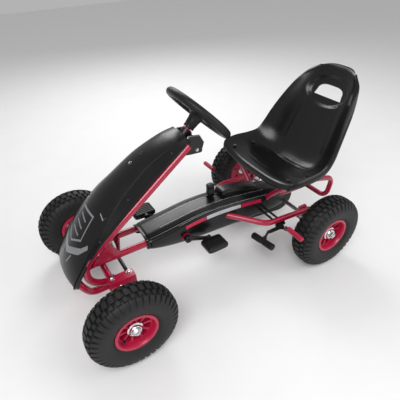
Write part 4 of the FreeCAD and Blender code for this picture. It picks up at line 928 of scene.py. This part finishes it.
def knuckle_bolts():
    """Bolt heads on the kingpins, the tie rod pins and the front face of each knuckle."""
    for where, sign in SIDES.items():
        parts = bolt(mm(299, sign * 98, 161.2), (0, 0, 1), 6.5, 4.0)
        parts += bolt(mm(334, sign * 120.1, 138), (0, sign, 0), 5.0, 3.0)
        keep(parts, "knuckle_bolts_" + where, PLATED, where + "_knuckle")
    parts = []
    for sign in SIDES.values():
        parts += bolt(mm(352, sign * 98, 162.0), (0, 0, 1), 7.0, 4.4)
    keep(parts, "kingpin_heads", PLATED, "frame")


def head_edges():
    """The folded bright edge and screws of the steering head's side plates."""
    corners = [(-8, 474), (6, 500), (40, 505), (92, 466), (80, 452), (36, 446), (2, 444)]
    parts = []
    for sign in SIDES.values():
        for low_y in (33.2, 37.4):
            ring = [(x, sign * low_y, z) for x, z in corners]
            parts.append(swept(even_route([Vector(p) for p in ring[:4]], 6.0), lambda share: 0.9, 10))
    keep(parts, "steering_head_edges", PLATED, "frame")
    screws = []
    for sign in SIDES.values():
        for x, z in ((16, 456), (66, 466)):
            screws += bolt(mm(x, sign * 37, z), (0, sign, 0), 4.0, 2.0)
    keep(screws, "steering_head_screws", PLATED, "frame")


steering_wheel()
knuckle_bolts()
head_edges()


# ---------------------------------------------------------------- drive

PITCH = 12.7
CRANK = Vector((80, 0, 166))
AXLE = Vector((-HALF_BASE, 0, WHEEL_Z))


def pitch_radius(teeth):
    """The radius that a sprocket's rollers lie on."""
    return PITCH / (2 * math.sin(math.pi / teeth))


def chain_line():
    """Points of the chain's pins around both sprockets, one pitch apart."""
    front_r, rear_r = pitch_radius(18), pitch_radius(14)
    span = AXLE - CRANK
    along = math.atan2(span.z, span.x)
    lean = math.asin((rear_r - front_r) / span.length)
    route = []
    quarter = math.pi / 2
    for middle, radius, first, last in (
            (CRANK, front_r, along - quarter - lean, along - 3 * math.pi / 2 + lean),
            (AXLE, rear_r, along + quarter + lean, along - quarter - lean)):
        for k in range(61):
            angle = first + (last - first) * k / 60
            route.append(middle + Vector((math.cos(angle), 0, math.sin(angle))) * radius)
    route.append(route[0])
    lengths = [0.0]
    for a, b in zip(route, route[1:]):
        lengths.append(lengths[-1] + (b - a).length)
    count = 2 * round(lengths[-1] / PITCH / 2)
    pins = []
    for k in range(count):
        target = lengths[-1] * k / count
        index = max(i for i, value in enumerate(lengths[:-1]) if value <= target)
        share = (target - lengths[index]) / max(lengths[index + 1] - lengths[index], 1e-9)
        pins.append(route[index] + (route[index + 1] - route[index]) * share)
    return pins


def link_plate(a, b, y, waist):
    """One side plate of a chain link between two pins."""
    along = (b - a).normalized()
    up = Vector((-along.z, 0, along.x))
    length = (b - a).length
    outline = []
    for k in range(9):
        angle = math.pi / 2 + math.pi * k / 8
        outline.append(a + along * (math.cos(angle) * 3.9) + up * (math.sin(angle) * 3.9))
    outline.append(a + along * (length / 2) - up * waist)
    for k in range(9):
        angle = -math.pi / 2 + math.pi * k / 8
        outline.append(b + along * (math.cos(angle) * 3.9) + up * (math.sin(angle) * 3.9))
    outline.append(a + along * (length / 2) + up * waist)
    rows = [[mm(p.x, y + side, p.z) for p in outline] for side in (-0.5, 0.5)]
    return rings(rows, cap_ends=True)


def chain():
    """The roller chain: alternating inner and outer plates; rollers cross it only clear of the teeth."""
    pins = chain_line()
    clear = 6.0
    parts = []
    for index, pin in enumerate(pins):
        following = pins[(index + 1) % len(pins)]
        for side in (1, -1):
            parts.append(link_plate(pin, following, side * (3.4 if index % 2 == 0 else 2.4), 2.6))
        beyond = min((pin - CRANK).length - pitch_radius(18), (pin - AXLE).length - pitch_radius(14))
        if beyond > clear:
            runs = [[(-3.95, 0.4), (-3.95, 1.5), (-3.7, 1.8), (-1.6, 1.8), (-1.6, 3.6), (1.6, 3.6),
                     (1.6, 1.8), (3.7, 1.8), (3.95, 1.5), (3.95, 0.4)]]
        else:
            runs = [[(side * 2.0, 0.4), (side * 2.0, 1.8), (side * 3.7, 1.8), (side * 3.95, 1.5),
                     (side * 3.95, 0.4)] for side in (1, -1)]
        parts += [turned(profile, mm(*pin), (0, 1, 0), 12) for profile in runs]
    keep(parts, "drive_chain_detail", OILED, "frame", ["drive_chain"], 30.0)


def pedal(where, sign, way):
    """A moulded pedal: a rounded block with raised ribs and a bearing collar."""
    angle = math.radians(22)
    x = 80 + way * 84 * math.cos(angle)
    z = 166 + way * 84 * math.sin(angle)
    y = sign * 108
    rows = []
    for across in [-28, -27.4, -26] + [-24 + 48 * k / 60 for k in range(61)] + [26, 27.4, 28]:
        edge = 1.0 - 0.12 * step_up(25, 28, abs(across))
        from_rib = abs((abs(across) + 4.5) % 9 - 4.5)
        slot = 3.4 * (1 - step_up(1.2, 1.9, from_rib)) if abs(across) < 23 else 0.0
        ring = []
        for a in turns(64):
            flat, high = squarish(a, 0.35, 0.45)
            deep = slot if abs(flat) < 0.93 and abs(high) > 0.8 else 0.0
            ring.append(mm(x + 38 * edge * flat, y + across, z + (10 * edge - deep) * high))
        rows.append(ring)
    keep([rings(rows, cap_ends=True)], "pedal_%s_detail" % where, GRIP, "pedal_" + where,
         ["pedal_" + where], 32.0)
    collar = [turned([(0, 5.3), (0, 8.4), (1.0, 9.0), (2.6, 9.0), (3.2, 8.0), (3.2, 5.3)],
                     mm(x, y - sign * 28, z), (0, -sign, 0), 36)]
    keep(collar, "pedal_%s_collar" % where, NYLON, "pedal_" + where)


def crank():
    """The forged arms with pinch bolts, the spindle with its boss, and the pins that the pedals turn on."""
    angle = math.radians(22)
    parts = [turned([(-78, 1), (-78, 6.4), (-77.2, 7), (77.2, 7), (78, 6.4), (78, 1)],
                    mm(*CRANK), (0, 1, 0), 36),
             turned([(-9, 8), (-9, 14), (-8, 15), (8, 15), (9, 14), (9, 8)],
                    mm(*CRANK), (0, 1, 0), 40)]
    for sign, way in ((1, -1), (-1, 1)):
        reach = Vector((math.cos(angle), 0, math.sin(angle))) * way
        start = Vector((80, sign * 72, 166))
        up = Vector((-reach.z, 0, reach.x))
        rows = []
        for k in range(17):
            share = k / 16
            middle = start + reach * (84 * share)
            half = 8.0 - 1.2 * math.sin(math.pi * share)
            section = [squarish(a, 0.5, 0.5) for a in turns(28)]
            rows.append([mm(*(middle + up * (half * flat) + Vector((0, 4.0 * high, 0))))
                         for flat, high in section])
        parts.append(rings(rows, cap_ends=True))
        for place, radius, half in ((start, 13.0, 6.0), (start + reach * 84, 10.0, 5.0)):
            parts.append(turned([(-half, 1), (-half, radius - 1), (1 - half, radius), (half - 1, radius),
                                 (half, radius - 1), (half, 1)], mm(*place), (0, 1, 0), 44))
        tip = start + reach * 84
        parts.append(turned([(0, 1), (0, 5), (58.6, 5), (59.5, 4), (59.8, 1)], mm(*tip), (0, sign, 0), 28))
        parts += bolt(mm(80, sign * 78, 166), (0, sign, 0), 6.5, 3.5)
    keep(parts, "crank_detail", BLACK_PAINT, "crank", ["crank"])


chain()
crank()
pedal("left", 1, -1)
pedal("right", -1, 1)


# ---------------------------------------------------------------- hand controls

def brake():
    """The cranked bar, ribbed sleeves, the T handle on its neck, and the tie bar with its bolts."""
    half = [(-207, 286, 184.5), (-207, 213, 184.5), (-235, 190, 141)]
    bar = [swept(rounded_route(both(half), 11.0), lambda share: 4.0, 20)]
    keep(bar, "brake_bar_detail", BLACK_PAINT, "brake", ["brake_bar"])
    sleeves = []
    for sign in SIDES.values():
        profile = [(0, 4.0), (0, 7.6), (1, 8.5)]
        for k in range(9):
            profile += [(6 + 5.6 * k, 8.5), (6.6 + 5.6 * k, 7.9), (8.0 + 5.6 * k, 7.9),
                        (8.6 + 5.6 * k, 8.5)]
        profile += [(61, 8.5), (63.6, 7.6), (65, 5.4), (65.3, 2.0), (65.3, 0.3)]
        sleeves.append(turned(profile, mm(-207, sign * 224, 184.5), (0, sign, 0), 40))
    keep(sleeves, "brake_sleeves_detail", SLEEVE_RED, "brake", ["brake_sleeves"])
    start = Vector((-155, 113, 103))
    stop = Vector((-171, 204, 103))
    length = (stop - start).length
    profile = [(0, 0.4), (0, 7.5), (0.8, 10.2), (2.4, 11.6), (5, 12)]
    waist = [(38, 12), (40, 11.4), (46, 11.0), (52, 11.4), (54, 12)]
    end = [(length - 5, 12), (length - 2.4, 11.6), (length - 0.8, 10.2), (length, 7.5), (length, 0.4)]
    for first_groove, after in ((9, waist), (57, end)):
        for k in range(6):
            profile += [(first_groove + deeper + 4.2 * k, radius)
                        for deeper, radius in ((0, 12), (0.6, 11.0), (2.2, 11.0), (2.8, 12))]
        profile += after
    handle = [turned(profile, mm(*start), stop - start, 56)]
    neck = [Vector((-170, 161.6, 122)), Vector((-165, 160.4, 113)), Vector((-163, 160, 107))]
    handle.append(swept(neck, lambda share: 6.4 + 2.4 * share, 24))
    keep(handle, "brake_handle_detail", GRIP, "brake", ["brake_handle"], 30.0)
    tie = [swept([Vector((-255, -159, 141)), Vector((-255, 159, 141))], lambda share: 4.0, 20)]
    for sign in SIDES.values():
        tie += bolt(mm(-255, sign * 149, 141), (0, sign, 0), 7.0, 5.5)
    keep(tie, "brake_tie_bar_detail", BLACK_PAINT, "frame", ["brake_tie_bar"])


def hand_lever():
    """The lever's rounded grip with thumb ribs."""
    rows = []
    for k in range(29):
        share = k / 28
        z = 236 + 41 * share
        round_off = math.sqrt(max(0.0, 1 - max(0.0, (abs(share - 0.5) - 0.32) / 0.18) ** 2))
        wide = (15 - 2.5 * math.sin(math.pi * share)) * (0.35 + 0.65 * round_off)
        deep = (14 - 2.0 * math.sin(math.pi * share)) * (0.35 + 0.65 * round_off)
        ribbed = step_up(0.2, 0.3, share) * (1 - step_up(0.7, 0.8, share))
        ridge = 0.7 * math.sin(share * math.pi * 16) * ribbed
        section = [squarish(angle, 0.7, 0.7) for angle in turns(40)]
        rows.append([mm(-64 + (wide + ridge) * flat, -20 + (deep + ridge) * high, z)
                     for flat, high in section])
    keep([rings(rows, cap_ends=True)], "hand_lever_grip_detail", GRIP, "hand_lever",
         ["hand_lever_grip"], 40.0)


brake()
hand_lever()


# ---------------------------------------------------------------- camera, light and floor

def camera():
    """The camera looks down at the kart from its front left."""
    position = mm(513.4, 898.5, 985.8)
    yaw, pitch, roll = -2.0983, -0.6205, -0.03
    forward = Vector((math.cos(yaw) * math.cos(pitch), math.sin(yaw) * math.cos(pitch), math.sin(pitch)))
    level = forward.cross(Vector((0, 0, 1))).normalized()
    above = level.cross(forward)
    right = level * math.cos(roll) + above * math.sin(roll)
    up = above * math.cos(roll) - level * math.sin(roll)
    data = bpy.data.cameras.new("view")
    data.sensor_width = 36.0
    data.lens = 34.28
    made = bpy.data.objects.new("view", data)
    bpy.context.scene.collection.objects.link(made)
    made.matrix_world = Matrix((
        (right.x, up.x, -forward.x, position.x), (right.y, up.y, -forward.y, position.y),
        (right.z, up.z, -forward.z, position.z), (0, 0, 0, 1)))
    bpy.context.scene.camera = made


def lamp(name, place, target, power, width):
    """A soft square light aimed at a point."""
    data = bpy.data.lights.new(name, "AREA")
    data.energy = power
    data.size = width
    made = bpy.data.objects.new(name, data)
    bpy.context.scene.collection.objects.link(made)
    made.location = place
    made.rotation_euler = (Vector(target) - Vector(place)).to_track_quat("-Z", "Y").to_euler()


def studio():
    """A pale floor under an even pale sky, with three soft lights."""
    world = bpy.data.worlds.new("studio")
    world.use_nodes = True
    bpy.context.scene.world = world
    sky = world.node_tree.nodes["Background"]
    sky.inputs["Color"].default_value = (1.0, 1.0, 1.0, 1.0)
    sky.inputs["Strength"].default_value = 0.45
    bpy.context.scene.view_settings.view_transform = "Standard"
    floor_surface = material("pale_floor", (0.86, 0.86, 0.86), 0.7, grain=60.0, bump=0.02, tint=0.01)
    points = [Vector((x * 6.0, y * 6.0, 0.0)) for x, y in ((-1, -1), (1, -1), (1, 1), (-1, 1))]
    floor = bpy.data.objects.new("floor", mesh_of("floor", points, [(0, 1, 2, 3)]))
    floor.data.materials.append(floor_surface)
    bpy.context.scene.collection.objects.link(floor)
    lamp("key", (1.2, 1.4, 2.2), (0, 0, 0.3), 40.0, 1.4)
    lamp("fill", (-1.6, 1.6, 1.4), (0, 0, 0.3), 16.0, 1.6)
    lamp("rim", (-0.6, -1.8, 1.8), (0, 0, 0.3), 26.0, 1.2)


CAD_SURFACES = {
    "frame_red": PAINT, "frame_black": BLACK_PAINT, "plated": BLACK_ZINC, "bearing_steel": PLATED,
    "hub_steel": CHROME, "drive_steel": OILED, "nylon": NYLON, "body_black": BODY, "seat_black": SEAT,
    "case_grey": CASE, "wheel_black": GRIP, "rim_red": RIM_RED, "tyre": RUBBER, "pedal_black": GRIP,
    "sleeve_red": SLEEVE_RED, "brake_black": BLACK_PAINT, "grip_black": GRIP,
}
for row in frame["record"]["subparts"]:
    shown = frame["nodes"][row["node"]]
    shown.data.materials.clear()
    shown.data.materials.append(CAD_SURFACES[row["material_slot"]])

camera()
studio()
